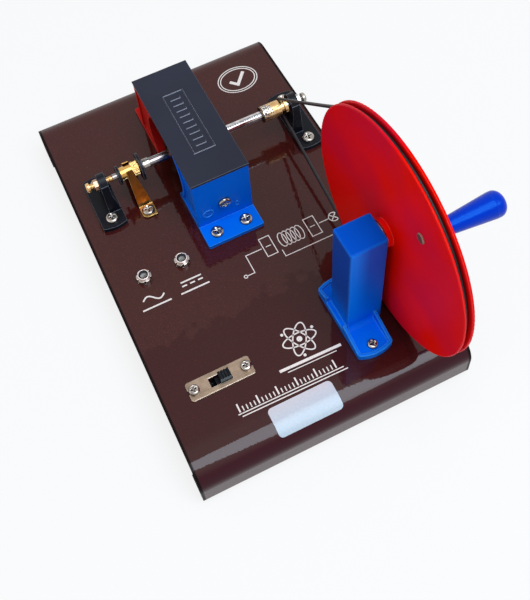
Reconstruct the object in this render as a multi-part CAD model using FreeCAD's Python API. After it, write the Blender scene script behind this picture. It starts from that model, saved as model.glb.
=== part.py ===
"""Hand-cranked demonstration generator on a bent sheet-steel base.

A large grooved wheel, turned by its crank handle, drives a small brass pulley
by a round belt. The pulley spins an iron armature between a blue and a red
magnet pole, and two brass leaves rub on the commutator. A slide switch sends
the current to one of two output sockets.

Units are millimetres. X runs along the short side of the base, Y along the
long side towards the generator, Z up. Every sub-part is drawn from the middle
of the base; save() moves it into the row frame, whose origin is on the bench
under the middle of the whole object.
"""
import FreeCAD
import Part
import math
import os

Vec = FreeCAD.Vector

# ---------------------------------------------------------------- base panel
base_width = 150.0        # X
base_depth = 246.0        # Y
base_height = 27.0
sheet = 1.5
base_bend_r = 12.0        # outside radius of the front and rear top bends
lip_bend_r = 4.0          # outside radius where a leg turns in to its lip
lip_depth = 15.0          # reach of the lip from the outside of the leg

# ------------------------------------------------- shared screws and hex nuts
screw_r = 1.5             # M3 shank
screw_slack = 0.2         # hole radius over shank radius
screw_head_r = 3.6
screw_head_h = 2.0
screw_tail = 1.2          # thread showing below a nut
recess_w = 1.0            # cross recess
recess_depth = 1.1
recess_reach = 0.62       # arms' reach as a share of the head's radius
head_round = 0.55         # rounding of a head as a share of its height
nut_flats = 5.5
nut_h = 2.4
seat_gap = 0.02           # between a fastener and the piece it clamps
over = 1.0                # how far a cutting shape runs past a face
arc_share = 0.45          # share of a run that the arc at its end may take

# ------------------------------------------------------------------- magnets
magnet_width = 24.0
magnet_thick = 9.0
magnet_height = 28.0
magnet_chamfer = 0.8
pocket_clear = 0.3

# ----------------------------------------------------- generator, pole pieces
gen_x = -0.5              # middle of the generator across the base
gen_from_rear = 35.0      # rear pole's wall, from the rear of the base
shaft_over_base = 20.5
pole_over_shaft = 19.6    # top of the poles over the shaft
pole_bore_r = 23.0        # concave face round the armature
pole_wall = 6.0           # between the outside and the magnet
bore_wall = 2.9           # thinnest, between the magnet and the concave face
pole_side_wall = 4.2
foot_h = 2.6
foot_reach = 13.7
foot_screw_pitch = 17.4
foot_screw_inset = 6.5    # foot screws from the foot's front edge
floor_h = 3.0             # pole floor, where the concave face ends
rim_w = 2.0               # raised rim round the side faces
side_recess = 1.2
pole_edge_r = 0.8
magnet_screw_over_base = 17.4
ring_mark_x = -9.9        # moulded ring and pips on the wall
mark_over_base = 12.3
ring_mark_r = 3.2
pip_mark_x = 7.3
pip_pitch = 3.0
mark_line = 0.7
mark_relief = 0.35

# ----------------------------------------------------------------- top cover
cover_h = 1.2
cover_overhang = 0.2
cover_lug_depth = 2.0
cover_lug_clear = 0.1
cover_edge_r = 0.4
frame_length = 45.0       # raised panel frame on the cover
frame_width = 12.5
frame_line = 0.6
frame_relief = 0.5
frame_ribs = 9
rib_length = 6.0

# ------------------------------------------------- bearing brackets and pivots
left_post_inset = 19.8    # middle of the left post from the base's left edge
right_post_inset = 12.95
post_web = 2.6
post_width = 4.6          # flanges and boss, along X
post_flare = 2.6          # flanges widen by this on the inner side, down to the foot
post_flange = 1.4
post_foot_half = 9.0      # half the post's length where it meets its foot
boss_r = 5.4
bracket_foot_width = 14.2
left_foot_half = 18.9     # half the foot's length, and the radius of its curved ends
right_foot_half = 22.2
right_foot_shift = 0.85   # the longer foot stands this far back of the shaft
bracket_foot_h = 3.0
bracket_screw_inset = 6.1 # from the ends of the feet
pivot_r = 1.6
pivot_tip_r = 1.0
pivot_tip_length = 3.0
pivot_head_r = 2.9
pivot_head_h = 2.0
pivot_slot = 0.8
left_pivot_show = 2.6     # thread between a lock nut and the pivot's head
right_pivot_show = 1.7
pivot_clear = 0.05
pivot_play = 0.06         # pivot tip in the shaft's end
pivot_hold = 0.5          # shaft end to the pivot's shoulder

# ------------------------------------------------------------------ armature
shaft_r = 2.5
journal_r = 2.0           # turned-down left end, under the commutator
left_thread_show = 3.9    # left post to the end of the shaft
right_thread_show = 0.15
centre_bore_depth = 4.0   # holes in the shaft ends for the pivots
core_cover_gap = 1.7      # armature core to the underside of the cover
core_inset = 6.0          # core's ends inside the poles' side faces
core_slot_half = 9.5      # half the width of a winding slot
core_web_half = 5.0       # half the web between the slots
coil_over = 3.4           # how far the coil passes the core's ends
coil_depth = 6.5          # coil build above the web
coil_gap = 0.3
coil_bore_clear = 0.5

# ---------------------------------------------------------------- commutator
hub_inset = 4.4           # hub's left face from the left end of the shaft
hub_length = 11.4
hub_wall = 0.9
segment_thick = 1.0
segment_split = 0.8
segment_end_gap = 0.3
flange_h = 1.5
left_flange_step = 1.7    # flanges above the segments
right_flange_step = 4.1
journal_show = 0.7
collar_wall = 0.9
collar_length = 3.6
collar_gap = 0.4
collar_screw_r = 1.0
lead_r = 0.35
lead_gap = 0.5            # coil's leads over the collar

# ------------------------------------------------------------ brass pulley
pulley_inset = 1.6        # pulley's right face from the right end of the shaft
pulley_length = 15.6
pulley_floor = 1.0        # wall under the belt groove
pulley_groove_depth = 1.25
pulley_groove_inset = 3.0
pulley_screw_r = 1.4
pulley_screw_inset = 3.0

# ------------------------------------------------------------------- brushes
brush_shift = -2.4        # brush's straight left edge, from the middle of the commutator
brush_sheet = 0.5
brush_foot_width = 8.2
brush_tip_width = 3.4
brush_foot_length = 8.6
brush_end_round = 3.0     # the foot's outer corner, towards the left
brush_corner_r = 0.6
brush_screw_inset = 4.0   # screw from the end of the brush's foot
brush_fold_back = 11.8    # fold line ahead of the shaft's axis
brush_above = 4.5         # tip above the shaft's axis
brush_clear = 0.3
pad_h = 0.8
bush_wall = 0.7           # insulating bush round a brush screw
under_washer_wall = 2.5

# ------------------------------------------------------------- wheel tower
tower_inset = 40.2        # middle of the tower from the base's right edge
tower_behind_front = 46.5 # and from its front
tower_width = 19.6
tower_depth = 17.2
tower_over_axle = 7.5
tower_edge_r = 1.2
tower_crown_r = 0.9
tower_wall = 2.8
tower_solid_top = 22.0    # solid block at the top that holds the axle
tray_width = 19.2
tray_shift = -3.1
tray_front = 19.0         # tray reach ahead of the tower
tray_rear = 11.0
tray_end_arc_r = 20.5     # curved ends of the trays
tray_floor = 2.6
tray_rim = 1.7
tray_rim_h = 1.6
gusset_h = 8.0
tray_round = 1.6
tower_cove_r = 3.0        # cove between the tower's face and its tray
tower_head_r = 2.7
front_screw_inset = 5.6   # tray screws from the ends of the trays
rear_screw_inset = 4.9

# ---------------------------------------------------------------- wheel, axle
wheel_r = 62.4
wheel_over_base = 2.9     # rim clear of the base
wheel_off_tower = 3.6
left_disc_h = 1.4
belt_slot = 2.4
right_disc_h = 1.6
groove_depth = 4.0
rim_edge_r = 0.5
axle_r = 3.0
axle_clear = 0.06
axle_thread_r = 2.4
axle_thread_length = 16.0
axle_tip_gap = 0.5
axle_head_r = 4.6
axle_head_h = 2.6
wheel_bush_wall = 2.2
wheel_side_gap = 0.15
washer_h = 0.6
washer_wall = 3.5
hub_boss_r = 9.0
hub_boss_h = 1.0
left_boss_r = 7.0         # boss towards the tower
left_boss_gap = 1.0       # between that boss and the tower

# -------------------------------------------------------------- crank handle
crank_y = -25.4           # crank pin from the wheel's middle
crank_z = 30.7
crank_pin_r = 1.6
crank_pin_clear = 0.08
crank_nut_flats = 6.4
rivet_over_pin = 1.0
rivet_h = 0.8
grip_gap = 0.5
grip_length = 25.5
grip_neck_r = 3.7
grip_end_r = 6.1
cap_length = 5.5
cap_round_r = 3.8
keeper_step = 1.6         # collar on the pin inside the grip
keeper_h = 1.6
keeper_room = 0.4
keeper_clear = 0.8        # collar to the wall of the grip's hollow
plug_gap = 0.3
cavity_length = 5.2

# ---------------------------------------------------------------- drive belt
belt_r = 0.9
belt_clear = 0.3
belt_lead_wheel = 24.0    # run that stays in the wheel's plane
belt_lead_pulley = 4.0

# --------------------------------------------------------------- slide switch
switch_inset = 31.6       # middle of the switch from the base's left edge
switch_behind_front = 43.6
switch_pitch = 28.4
plate_over_screws = 6.6
switch_plate_width = 10.8
switch_plate_h = 1.0
switch_notch = 1.6
plate_edge_r = 0.3
switch_screw_r = 1.2
switch_hole_clear = 0.1
switch_nut_flats = 4.6
switch_nut_h = 1.8
switch_head_r = 2.9
knob_length = 6.0
knob_width = 4.6
knob_clear = 0.3
knob_rise = 3.6
knob_ribs = 4
knob_rib_depth = 0.7
switch_travel = 5.0
tongue_over = 2.0         # slider's tongue past its knob, inside the housing
housing_slack = 2.5
housing_width = 9.0
housing_depth = 7.0
housing_wall = 1.0
ear_h = 1.0               # mounting ears, under the sheet
terminal_pitch = 4.6
terminal_row = 4.0
terminal_size = 1.2
terminal_h = 4.5

# ------------------------------------------------------------- output sockets
socket_ahead = 13.6       # sockets ahead of the front pole's wall
ac_socket_inset = 19.3    # from the base's left edge
dc_socket_inset = 41.6
socket_bore_r = 1.8       # takes a 3.5 mm plug
liner_wall = 0.85
barrel_wall = 0.55
barrel_rise = 4.6
socket_nut_wall = 0.9
socket_nut_h = 3.0
barrel_edge_r = 0.3
nut_notches = 6
notch_w = 1.1
notch_floor = 0.9         # notches stop this far over the base
notch_turn = 18.0         # degrees
notch_wall = 0.3
liner_sink = 0.5
collar_h = 1.0            # barrel's collar under the sheet
body_step = 1.6           # insulating body over the barrel
collar_step = 1.0         # barrel's collar over the insulating body
body_depth = 10.0
body_floor = 1.0
contact_h = 1.5
contact_step = 0.4        # contact's radius under the bore's
contact_sink = 0.2        # contact's face below the bore's floor
tag_width = 1.4
tag_thick = 0.5
tag_h = 3.5

# ------------------------------------------------------ leads under the base
wire_r = 0.6
run_under_tags = 3.2      # red leads' level under the lowest tag
run_pitch = 2.6           # black leads over the red ones
lane_pitch = 2.0          # and beside them
lane_start = 12.0         # a lead reaches its lane this far ahead of its start
lane_end = 13.4           # and leaves it this far behind the switch

# ------------------------------------------------------------------- derived
base_left = -base_width / 2
base_right = base_width / 2
base_front = -base_depth / 2
underside_z = base_height - sheet
screw_hole_r = screw_r + screw_slack

magnet_room = magnet_thick + 2 * pocket_clear
gen_depth = 2 * (pole_wall + magnet_room + bore_wall + pole_bore_r)
gen_front_y = base_depth / 2 - gen_from_rear - gen_depth
pole_width = magnet_width + 2 * (pocket_clear + pole_side_wall)
shaft_y = gen_front_y + gen_depth / 2
shaft_z = base_height + shaft_over_base
pole_top_z = shaft_z + pole_over_shaft
cover_top_z = pole_top_z + cover_h

foot_shift = bracket_foot_width / 2 - post_width / 2 - post_flare
left_post_x = base_left + left_post_inset
right_post_x = base_right - right_post_inset
shaft_left_x = left_post_x + post_width / 2 + left_thread_show
shaft_right_x = right_post_x - post_width / 2 - right_thread_show
core_r = pole_over_shaft - core_cover_gap
core_length = pole_width - 2 * core_inset
core_left_x = gen_x - core_length / 2

hub_left_x = shaft_left_x + hub_inset
hub_right_x = hub_left_x + hub_length
hub_r = journal_r + hub_wall
segment_r = hub_r + segment_thick
journal_end_x = hub_right_x + flange_h + journal_show
collar_left_x = journal_end_x + collar_gap
collar_r = shaft_r + collar_wall
brush_left_x = (hub_left_x + hub_right_x) / 2 + brush_shift
brush_x = brush_left_x + brush_foot_width / 2
bush_r = screw_hole_r + bush_wall

pulley_left_x = shaft_right_x - pulley_inset - pulley_length
pulley_groove_x = shaft_right_x - pulley_inset - pulley_groove_inset
pulley_groove_r = shaft_r + pulley_floor
pulley_r = pulley_groove_r + pulley_groove_depth
pulley_screw_x = pulley_left_x + pulley_screw_inset

tower_x = base_right - tower_inset
tower_y = base_front + tower_behind_front
tower_right_x = tower_x + tower_width / 2
wheel_y = tower_y
wheel_z = base_height + wheel_over_base + wheel_r
tower_top_z = wheel_z + tower_over_axle
wheel_left_x = tower_right_x + wheel_off_tower
wheel_right_x = wheel_left_x + left_disc_h + belt_slot + right_disc_h
belt_wheel_x = wheel_left_x + left_disc_h + belt_slot / 2
groove_floor_r = wheel_r - groove_depth

crank_pin_y = wheel_y + crank_y
crank_pin_z = wheel_z + crank_z
grip_left_x = wheel_right_x + nut_h + grip_gap
grip_right_x = grip_left_x + grip_length
handle_tip_x = grip_right_x + cap_length
keeper_r = crank_pin_r + keeper_step
cavity_r = keeper_r + keeper_clear
keeper_x = grip_right_x - cavity_length + keeper_room

switch_x = base_left + switch_inset
switch_y = base_front + switch_behind_front
switch_plate_length = switch_pitch + plate_over_screws
switch_slot_length = knob_length + switch_travel + 2 * knob_clear
switch_slot_width = knob_width + 2 * knob_clear
tongue_length = knob_length + 2 * tongue_over
housing_length = tongue_length + switch_travel + 2 * (housing_wall + housing_slack)
housing_floor_z = underside_z - ear_h - housing_depth

socket_y = gen_front_y - socket_ahead
liner_r = socket_bore_r + liner_wall
contact_r = socket_bore_r - contact_step
barrel_r = liner_r + barrel_wall
socket_nut_r = barrel_r + socket_nut_wall
body_r = barrel_r + body_step
barrel_collar_r = body_r + collar_step
socket_floor_z = underside_z - collar_h - body_depth
red_run_z = min(socket_floor_z - tag_h, housing_floor_z - terminal_h) - run_under_tags
black_run_z = red_run_z + run_pitch

# Row frame: origin under the middle of the whole object's box.
frame_shift = Vec(
    -(handle_tip_x + base_left) / 2,
    -(base_depth / 2 + wheel_y - wheel_r) / 2,
    0,
)


# ================================================================== helpers
def save(name, *solids):
    """Write one node; several solids make a group."""
    shape = solids[0] if len(solids) == 1 else Part.makeCompound(list(solids))
    shape = shape.copy()
    shape.translate(frame_shift)
    shape.exportStep("parts/" + name + ".step")
    print(name, len(shape.Solids), round(shape.Volume, 1), shape.isValid())


def box(x0, x1, y0, y1, z0, z1):
    return Part.makeBox(x1 - x0, y1 - y0, z1 - z0, Vec(x0, y0, z0))


def rod_x(x0, x1, y, z, radius):
    return Part.makeCylinder(radius, x1 - x0, Vec(x0, y, z), Vec(1, 0, 0))


def rod_z(x, y, z0, z1, radius):
    return Part.makeCylinder(radius, z1 - z0, Vec(x, y, z0), Vec(0, 0, 1))


def polygon(points):
    return Part.Face(Part.makePolygon(points + [points[0]]))


def wire_face(edges):
    return Part.Face(Part.Wire(Part.__sortEdges__(edges)))


def spun_180(shape):
    """The same piece turned half a turn about the generator's upright axis."""
    turned = shape.copy()
    turned.rotate(Vec(gen_x, shaft_y, 0), Vec(0, 0, 1), 180)
    return turned


def edges_along(shape, axis, keep):
    """Straight edges parallel to an axis whose middle passes keep(point)."""
    found = []
    for edge in shape.Edges:
        if not isinstance(edge.Curve, (Part.Line, Part.LineSegment)):
            continue
        if abs(abs(edge.tangentAt(edge.FirstParameter).dot(axis)) - 1) > 1e-6:
            continue
        if keep(edge.CenterOfMass):
            found.append(edge)
    return found


def hex_prism(base, axis, flats, height):
    """Hexagonal prism from base along axis."""
    corner_r = flats / math.sqrt(3)
    points = [
        Vec(corner_r * math.cos(math.radians(60 * k)), corner_r * math.sin(math.radians(60 * k)), 0)
        for k in range(6)
    ]
    prism = polygon(points).extrude(Vec(0, 0, height))
    prism.Placement = FreeCAD.Placement(base, FreeCAD.Rotation(Vec(0, 0, 1), axis))
    return prism


def hex_nut(base, axis, bore_r):
    nut = hex_prism(base, axis, nut_flats, nut_h)
    crown = Part.makeCone(nut_flats / 2 + nut_h, nut_flats / 2, nut_h, base, axis)
    flared = Part.makeCone(nut_flats / 2, nut_flats / 2 + nut_h, nut_h, base, axis)
    nut = nut.common(crown.fuse(flared))
    return nut.cut(Part.makeCylinder(bore_r, 3 * nut_h, base - axis * nut_h, axis))


def pan_screw(base, axis, head_r, shank_r, shank_length, head_h=screw_head_h):
    """Pan-head screw: the head sits on base, its shank runs back along -axis."""
    head = Part.makeCylinder(head_r, head_h, base, axis)
    rim = [e for e in head.Edges if e.Closed and (e.CenterOfMass - base).dot(axis) > head_h / 2]
    head = head.makeFillet(head_h * head_round, rim)
    arms = cross_recess(head_r)
    arms.Placement = FreeCAD.Placement(base + axis * head_h, FreeCAD.Rotation(Vec(0, 0, 1), axis))
    head = head.cut(arms)
    shank = Part.makeCylinder(shank_r, shank_length + head_h / 4, base - axis * shank_length, axis)
    return head.fuse(shank).removeSplitter()


def cross_recess(head_r):
    """Tapered cross-shaped tool that cuts a driver recess, top at z = 0."""
    reach = head_r * recess_reach
    arms = []
    for turn in (0, 90):
        foot = recess_w / 2
        outline = [Vec(-reach, 0, 0), Vec(reach, 0, 0), Vec(foot, 0, -recess_depth),
                   Vec(-foot, 0, -recess_depth)]
        arm = polygon(outline).extrude(Vec(0, recess_w, 0))
        arm.translate(Vec(0, -recess_w / 2, 0))
        arm.rotate(Vec(0, 0, 0), Vec(0, 0, 1), turn)
        arms.append(arm)
    return arms[0].fuse(arms[1])


def down_screw(x, y, z, depth, head_r=screw_head_r, shank_r=screw_r):
    """Screw standing in the base: head seated at z, shank reaching down by depth."""
    return pan_screw(Vec(x, y, z + seat_gap), Vec(0, 0, 1), head_r, shank_r, depth)


def under_nut(spot, seat_z):
    """Hex nut tight against a downward face at seat_z."""
    return hex_nut(Vec(spot.x, spot.y, seat_z - seat_gap - nut_h), Vec(0, 0, 1), screw_r)


def screw_depth(seat_z):
    """Shank from a seat down through the sheet and a nut."""
    return seat_z - underside_z + nut_h + screw_tail


def rounded_path(corners):
    """Edges from the first corner to the last: runs joined by tangent arcs."""
    edges = []
    radii = []
    here = corners[0]
    for before, corner, after in zip(corners, corners[1:], corners[2:]):
        way_in = (corner - before).normalize()
        way_out = (after - corner).normalize()
        half_turn = math.tan(way_in.getAngle(way_out) / 2)
        back = arc_share * min(corner.distanceToPoint(before), corner.distanceToPoint(after))
        radius = back / half_turn
        inward = (way_out - way_in).normalize()
        depth = math.hypot(radius, back) - radius
        start = corner - way_in * back
        end = corner + way_out * back
        edges.append(Part.LineSegment(here, start).toShape())
        edges.append(Part.Arc(start, corner + inward * depth, end).toShape())
        here = end
        radii.append(round(radius, 1))
    edges.append(Part.LineSegment(here, corners[-1]).toShape())
    print("arc radii", radii)
    return edges


def tube(edges, radius):
    """Round rod along a path of edges."""
    start = edges[0]
    centre = start.valueAt(start.FirstParameter)
    section = Part.Circle(centre, start.tangentAt(start.FirstParameter), radius)
    path = Part.Wire(edges)
    rod = path.makePipeShell([Part.Wire(section.toShape())], True, False)
    print("rod volume", round(rod.Volume, 2), "section times length",
          round(math.pi * radius ** 2 * path.Length, 2))
    return rod


# ================================================= where the screws go
def pole_screw_points():
    spots = []
    for side in (-0.5, 0.5):
        front = Vec(gen_x + side * foot_screw_pitch, gen_front_y - foot_reach + foot_screw_inset, 0)
        spots.append(front)
        spots.append(Vec(2 * gen_x - front.x, 2 * shaft_y - front.y, 0))
    return spots


def bracket_screw_points():
    feet = [(left_post_x - foot_shift, shaft_y, left_foot_half),
            (right_post_x + foot_shift, shaft_y + right_foot_shift, right_foot_half)]
    spots = []
    for x, y, half in feet:
        for side in (-1, 1):
            spots.append(Vec(x, y + side * (half - bracket_screw_inset), 0))
    return spots


def brush_screw_points():
    front_y = brush_screw_y()
    return [Vec(brush_x, front_y, 0), Vec(brush_x, 2 * shaft_y - front_y, 0)]


def tower_screw_points():
    x = tower_x + tray_shift
    front_y = tower_y - tower_depth / 2 - tray_front + front_screw_inset
    rear_y = tower_y + tower_depth / 2 + tray_rear - rear_screw_inset
    return [Vec(x, front_y, 0), Vec(x, rear_y, 0)]


def switch_screw_points():
    return [Vec(switch_x + side * switch_pitch / 2, switch_y, 0) for side in (-1, 1)]


def socket_points():
    return [Vec(base_left + inset, socket_y, 0) for inset in (ac_socket_inset, dc_socket_inset)]


# =============================================================== base panel
def rounded_band(half_y, z0, z1, low_r, high_r):
    """Prism along X of a YZ rectangle with rounded lower and upper corners."""
    block = box(-base_width / 2, base_width / 2, -half_y, half_y, z0, z1)
    middle = (z0 + z1) / 2
    low = edges_along(block, Vec(1, 0, 0), lambda p: p.z < middle)
    block = block.makeFillet(low_r, low)
    high = edges_along(block, Vec(1, 0, 0), lambda p: p.z > z1 - 1e-3)
    high = [e for e in high if abs(abs(e.CenterOfMass.y) - half_y) < 1e-3]
    return block.makeFillet(high_r, high)


def base_panel():
    half = base_depth / 2
    panel = rounded_band(half, 0, base_height, lip_bend_r, base_bend_r)
    inside = rounded_band(half - sheet, sheet, base_height - sheet,
                          lip_bend_r - sheet, base_bend_r - sheet)
    panel = panel.cut(inside)
    gap = half - lip_depth
    panel = panel.cut(box(-base_width, base_width, -gap, gap, -1, sheet + over))
    holes = []
    for spot in pole_screw_points() + bracket_screw_points() + tower_screw_points():
        holes.append(rod_z(spot.x, spot.y, 0, base_height + over, screw_hole_r))
    for spot in brush_screw_points():
        holes.append(rod_z(spot.x, spot.y, 0, base_height + over, bush_r))
    for spot in switch_screw_points():
        holes.append(rod_z(spot.x, spot.y, sheet + over, base_height + over,
                           switch_screw_r + switch_hole_clear))
    for spot in socket_points():
        holes.append(rod_z(spot.x, spot.y, 0, base_height + over, barrel_r))
    slot_x = switch_slot_length / 2
    slot_y = switch_slot_width / 2
    holes.append(box(switch_x - slot_x, switch_x + slot_x, switch_y - slot_y, switch_y + slot_y,
                     underside_z - over, base_height + over))
    return panel.cut(holes)


# ============================================================== pole pieces
def pole_outline(inset, x):
    """Side outline of the front pole, shrunk by inset, as a face at x."""
    front = gen_front_y + inset
    top = pole_top_z - inset
    floor = base_height + floor_h + inset / 2
    bottom = floor if inset else base_height
    arc_r = pole_bore_r + inset
    top_y = shaft_y - math.sqrt(arc_r ** 2 - (top - shaft_z) ** 2)
    low_y = shaft_y - math.sqrt(arc_r ** 2 - (shaft_z - floor) ** 2)
    corners = [Vec(x, low_y, floor), Vec(x, low_y, bottom), Vec(x, front, bottom),
               Vec(x, front, top), Vec(x, top_y, top)]
    if not inset:
        foot_y = front - foot_reach
        foot_z = base_height + foot_h
        corners[2:3] = [Vec(x, foot_y, bottom), Vec(x, foot_y, foot_z), Vec(x, front, foot_z)]
    edges = []
    for start, end in zip(corners, corners[1:]):
        if start.distanceToPoint(end) > 1e-6:
            edges.append(Part.LineSegment(start, end).toShape())
    middle = Vec(x, shaft_y - arc_r, shaft_z)
    edges.append(Part.Arc(corners[-1], middle, corners[0]).toShape())
    return wire_face(edges)


def front_pole():
    left = gen_x - pole_width / 2
    right = gen_x + pole_width / 2
    pole = pole_outline(0, left).extrude(Vec(pole_width, 0, 0))
    foot_front = gen_front_y - foot_reach
    foot_top = base_height + foot_h
    upright = edges_along(pole, Vec(0, 0, 1), lambda p: p.y < gen_front_y + sheet and p.z > foot_top)
    foot_ends = edges_along(pole, Vec(0, 0, 1), lambda p: p.y < foot_front + sheet)
    pole = pole.makeFillet(pole_edge_r, upright + foot_ends)
    for x, sense in ((left, 1), (right, -1)):
        recess = pole_outline(rim_w, x - over * sense).extrude(Vec(sense * (side_recess + over), 0, 0))
        pole = pole.cut(recess)
    half = magnet_width / 2 + pocket_clear
    pocket_y = gen_front_y + pole_wall
    pocket_floor = pole_top_z - cover_lug_depth - magnet_height - 2 * pocket_clear
    pole = pole.cut(box(gen_x - half, gen_x + half, pocket_y, pocket_y + magnet_room,
                        pocket_floor, pole_top_z + over))
    hole = Vec(gen_x, gen_front_y - over, base_height + magnet_screw_over_base)
    holes = [Part.makeCylinder(screw_r, pole_wall + 2 * over, hole, Vec(0, 1, 0))]
    for side in (-0.5, 0.5):
        holes.append(rod_z(gen_x + side * foot_screw_pitch, gen_front_y - foot_reach + foot_screw_inset,
                           base_height - over, base_height + foot_h + over, screw_hole_r))
    return pole.cut(holes).fuse(pole_marks()).removeSplitter()


def pole_marks():
    """Moulded ring and two pips on the wall of a pole."""
    mark_z = base_height + mark_over_base
    back_y = gen_front_y + mark_relief
    reach = 2 * mark_relief
    wall = Vec(gen_x + ring_mark_x, back_y, mark_z)
    ring = Part.makeCylinder(ring_mark_r, reach, wall, Vec(0, -1, 0))
    ring = ring.cut(Part.makeCylinder(ring_mark_r - mark_line, reach, wall, Vec(0, -1, 0)))
    marks = [ring]
    for k in (0, 1):
        spot = Vec(gen_x + pip_mark_x, back_y, mark_z - pip_pitch * k)
        marks.append(Part.makeCylinder(mark_line, reach, spot, Vec(0, -1, 0)))
    return marks


def front_magnet():
    y = gen_front_y + pole_wall + pocket_clear
    z = pole_top_z - cover_lug_depth - magnet_height - pocket_clear
    half = magnet_width / 2
    block = box(gen_x - half, gen_x + half, y, y + magnet_thick, z, z + magnet_height)
    return block.makeChamfer(magnet_chamfer, edges_along(block, Vec(0, 0, 1), lambda p: True))


def front_magnet_screw():
    seat = Vec(gen_x, gen_front_y - seat_gap, base_height + magnet_screw_over_base)
    return pan_screw(seat, Vec(0, -1, 0), screw_head_r, screw_r, pole_wall + pocket_clear)


def top_cover():
    left = gen_x - pole_width / 2 - cover_overhang
    right = gen_x + pole_width / 2 + cover_overhang
    front = gen_front_y - cover_overhang
    rear = gen_front_y + gen_depth + cover_overhang
    plate = box(left, right, front, rear, pole_top_z, cover_top_z)
    top_edges = [e for e in plate.Edges if e.CenterOfMass.z > cover_top_z - 1e-3]
    plate = plate.makeFillet(cover_edge_r, top_edges)
    lug_half = magnet_width / 2 + pocket_clear - cover_lug_clear
    lug_front = gen_front_y + pole_wall + cover_lug_clear
    lug_back = gen_front_y + pole_wall + magnet_room - cover_lug_clear
    lug = box(gen_x - lug_half, gen_x + lug_half, lug_front, lug_back,
              pole_top_z - cover_lug_depth, pole_top_z + cover_h / 2)
    plate = plate.fuse([lug, spun_180(lug)] + cover_relief())
    return plate.removeSplitter()


def cover_relief():
    """Raised frame on the cover with a plain row of grip ribs inside it."""
    low = cover_top_z - frame_relief
    high = cover_top_z + frame_relief
    half_x = frame_width / 2
    half_y = frame_length / 2
    outer = box(gen_x - half_x, gen_x + half_x, shaft_y - half_y, shaft_y + half_y, low, high)
    inner_x = half_x - frame_line
    inner_y = half_y - frame_line
    border = outer.cut(box(gen_x - inner_x, gen_x + inner_x, shaft_y - inner_y, shaft_y + inner_y,
                           low - over, high + over))
    pitch = 2 * inner_y / (frame_ribs + 1)
    ribs = []
    for k in range(frame_ribs):
        y = shaft_y + pitch * (k - (frame_ribs - 1) / 2)
        ribs.append(box(gen_x - rib_length / 2, gen_x + rib_length / 2, y - frame_line, y + frame_line,
                        low, high))
    return [border] + ribs


# ================================================================= armature
def shaft():
    body = rod_x(journal_end_x, shaft_right_x, shaft_y, shaft_z, shaft_r)
    body = body.fuse(rod_x(shaft_left_x, journal_end_x, shaft_y, shaft_z, journal_r)).removeSplitter()
    bore_r = pivot_tip_r + pivot_play
    ends = [rod_x(shaft_left_x - over, shaft_left_x + centre_bore_depth, shaft_y, shaft_z, bore_r),
            rod_x(shaft_right_x - centre_bore_depth, shaft_right_x + over, shaft_y, shaft_z, bore_r)]
    return body.cut(ends)


def armature_core():
    x0 = core_left_x
    x1 = core_left_x + core_length
    core = rod_x(x0, x1, shaft_y, shaft_z, core_r)
    for sense in (-1, 1):
        near = shaft_z + sense * core_web_half
        far = shaft_z + sense * (core_r + over)
        core = core.cut(box(x0 - over, x1 + over, shaft_y - core_slot_half, shaft_y + core_slot_half,
                            min(near, far), max(near, far)))
    return core.cut(rod_x(x0 - over, x1 + over, shaft_y, shaft_z, shaft_r))


def armature_winding():
    x0 = core_left_x
    x1 = core_left_x + core_length
    half_y = core_slot_half - coil_gap
    half_z = core_web_half + coil_depth
    outer = box(x0 - coil_over, x1 + coil_over, shaft_y - half_y, shaft_y + half_y,
                shaft_z - half_z, shaft_z + half_z)
    outer = outer.makeFillet(coil_over - coil_gap, edges_along(outer, Vec(0, 1, 0), lambda p: True))
    inner = box(x0, x1, shaft_y - half_y - over, shaft_y + half_y + over,
                shaft_z - core_web_half, shaft_z + core_web_half)
    coil = outer.cut(inner)
    return coil.cut(rod_x(x0 - 2 * coil_over, x1 + 2 * coil_over, shaft_y, shaft_z,
                          shaft_r + coil_bore_clear))


def commutator_hub():
    hub = rod_x(hub_left_x - flange_h, hub_right_x + flange_h, shaft_y, shaft_z, hub_r)
    left = rod_x(hub_left_x - flange_h, hub_left_x, shaft_y, shaft_z, segment_r + left_flange_step)
    right = rod_x(hub_right_x, hub_right_x + flange_h, shaft_y, shaft_z, segment_r + right_flange_step)
    hub = hub.fuse([left, right]).removeSplitter()
    reach = flange_h + over
    return hub.cut(rod_x(hub_left_x - reach, hub_right_x + reach, shaft_y, shaft_z, journal_r))


def commutator_segments():
    x0 = hub_left_x + segment_end_gap
    x1 = hub_right_x - segment_end_gap
    ring = rod_x(x0, x1, shaft_y, shaft_z, segment_r)
    ring = ring.cut(rod_x(x0 - over, x1 + over, shaft_y, shaft_z, hub_r))
    half = segment_split / 2
    ring = ring.cut(box(x0 - over, x1 + over, shaft_y - 2 * segment_r, shaft_y + 2 * segment_r,
                        shaft_z - half, shaft_z + half))
    return ring.Solids


def shaft_collar():
    x0 = collar_left_x
    x1 = x0 + collar_length
    collar = rod_x(x0, x1, shaft_y, shaft_z, collar_r)
    collar = collar.cut(rod_x(x0 - over, x1 + over, shaft_y, shaft_z, shaft_r))
    return collar.cut(rod_z((x0 + x1) / 2, shaft_y, shaft_z, shaft_z + 2 * collar_r, collar_screw_r))


def grub_screw(x, radius, inner_r, outer_r):
    """Headless screw pointing down at the shaft, slotted outside."""
    low = shaft_z + inner_r + seat_gap
    high = shaft_z + outer_r
    screw = rod_z(x, shaft_y, low, high, radius)
    return screw.cut(box(x - radius - over, x + radius + over, shaft_y - radius / 4, shaft_y + radius / 4,
                         high - (high - low) / 3, high + over))


def winding_leads():
    """Two coil ends, from the winding's left face to the commutator's flange."""
    x0 = hub_right_x + flange_h
    x1 = core_left_x - coil_over
    offset = collar_r + lead_gap
    return [rod_x(x0, x1, shaft_y, shaft_z + sense * offset, lead_r) for sense in (-1, 1)]


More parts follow.
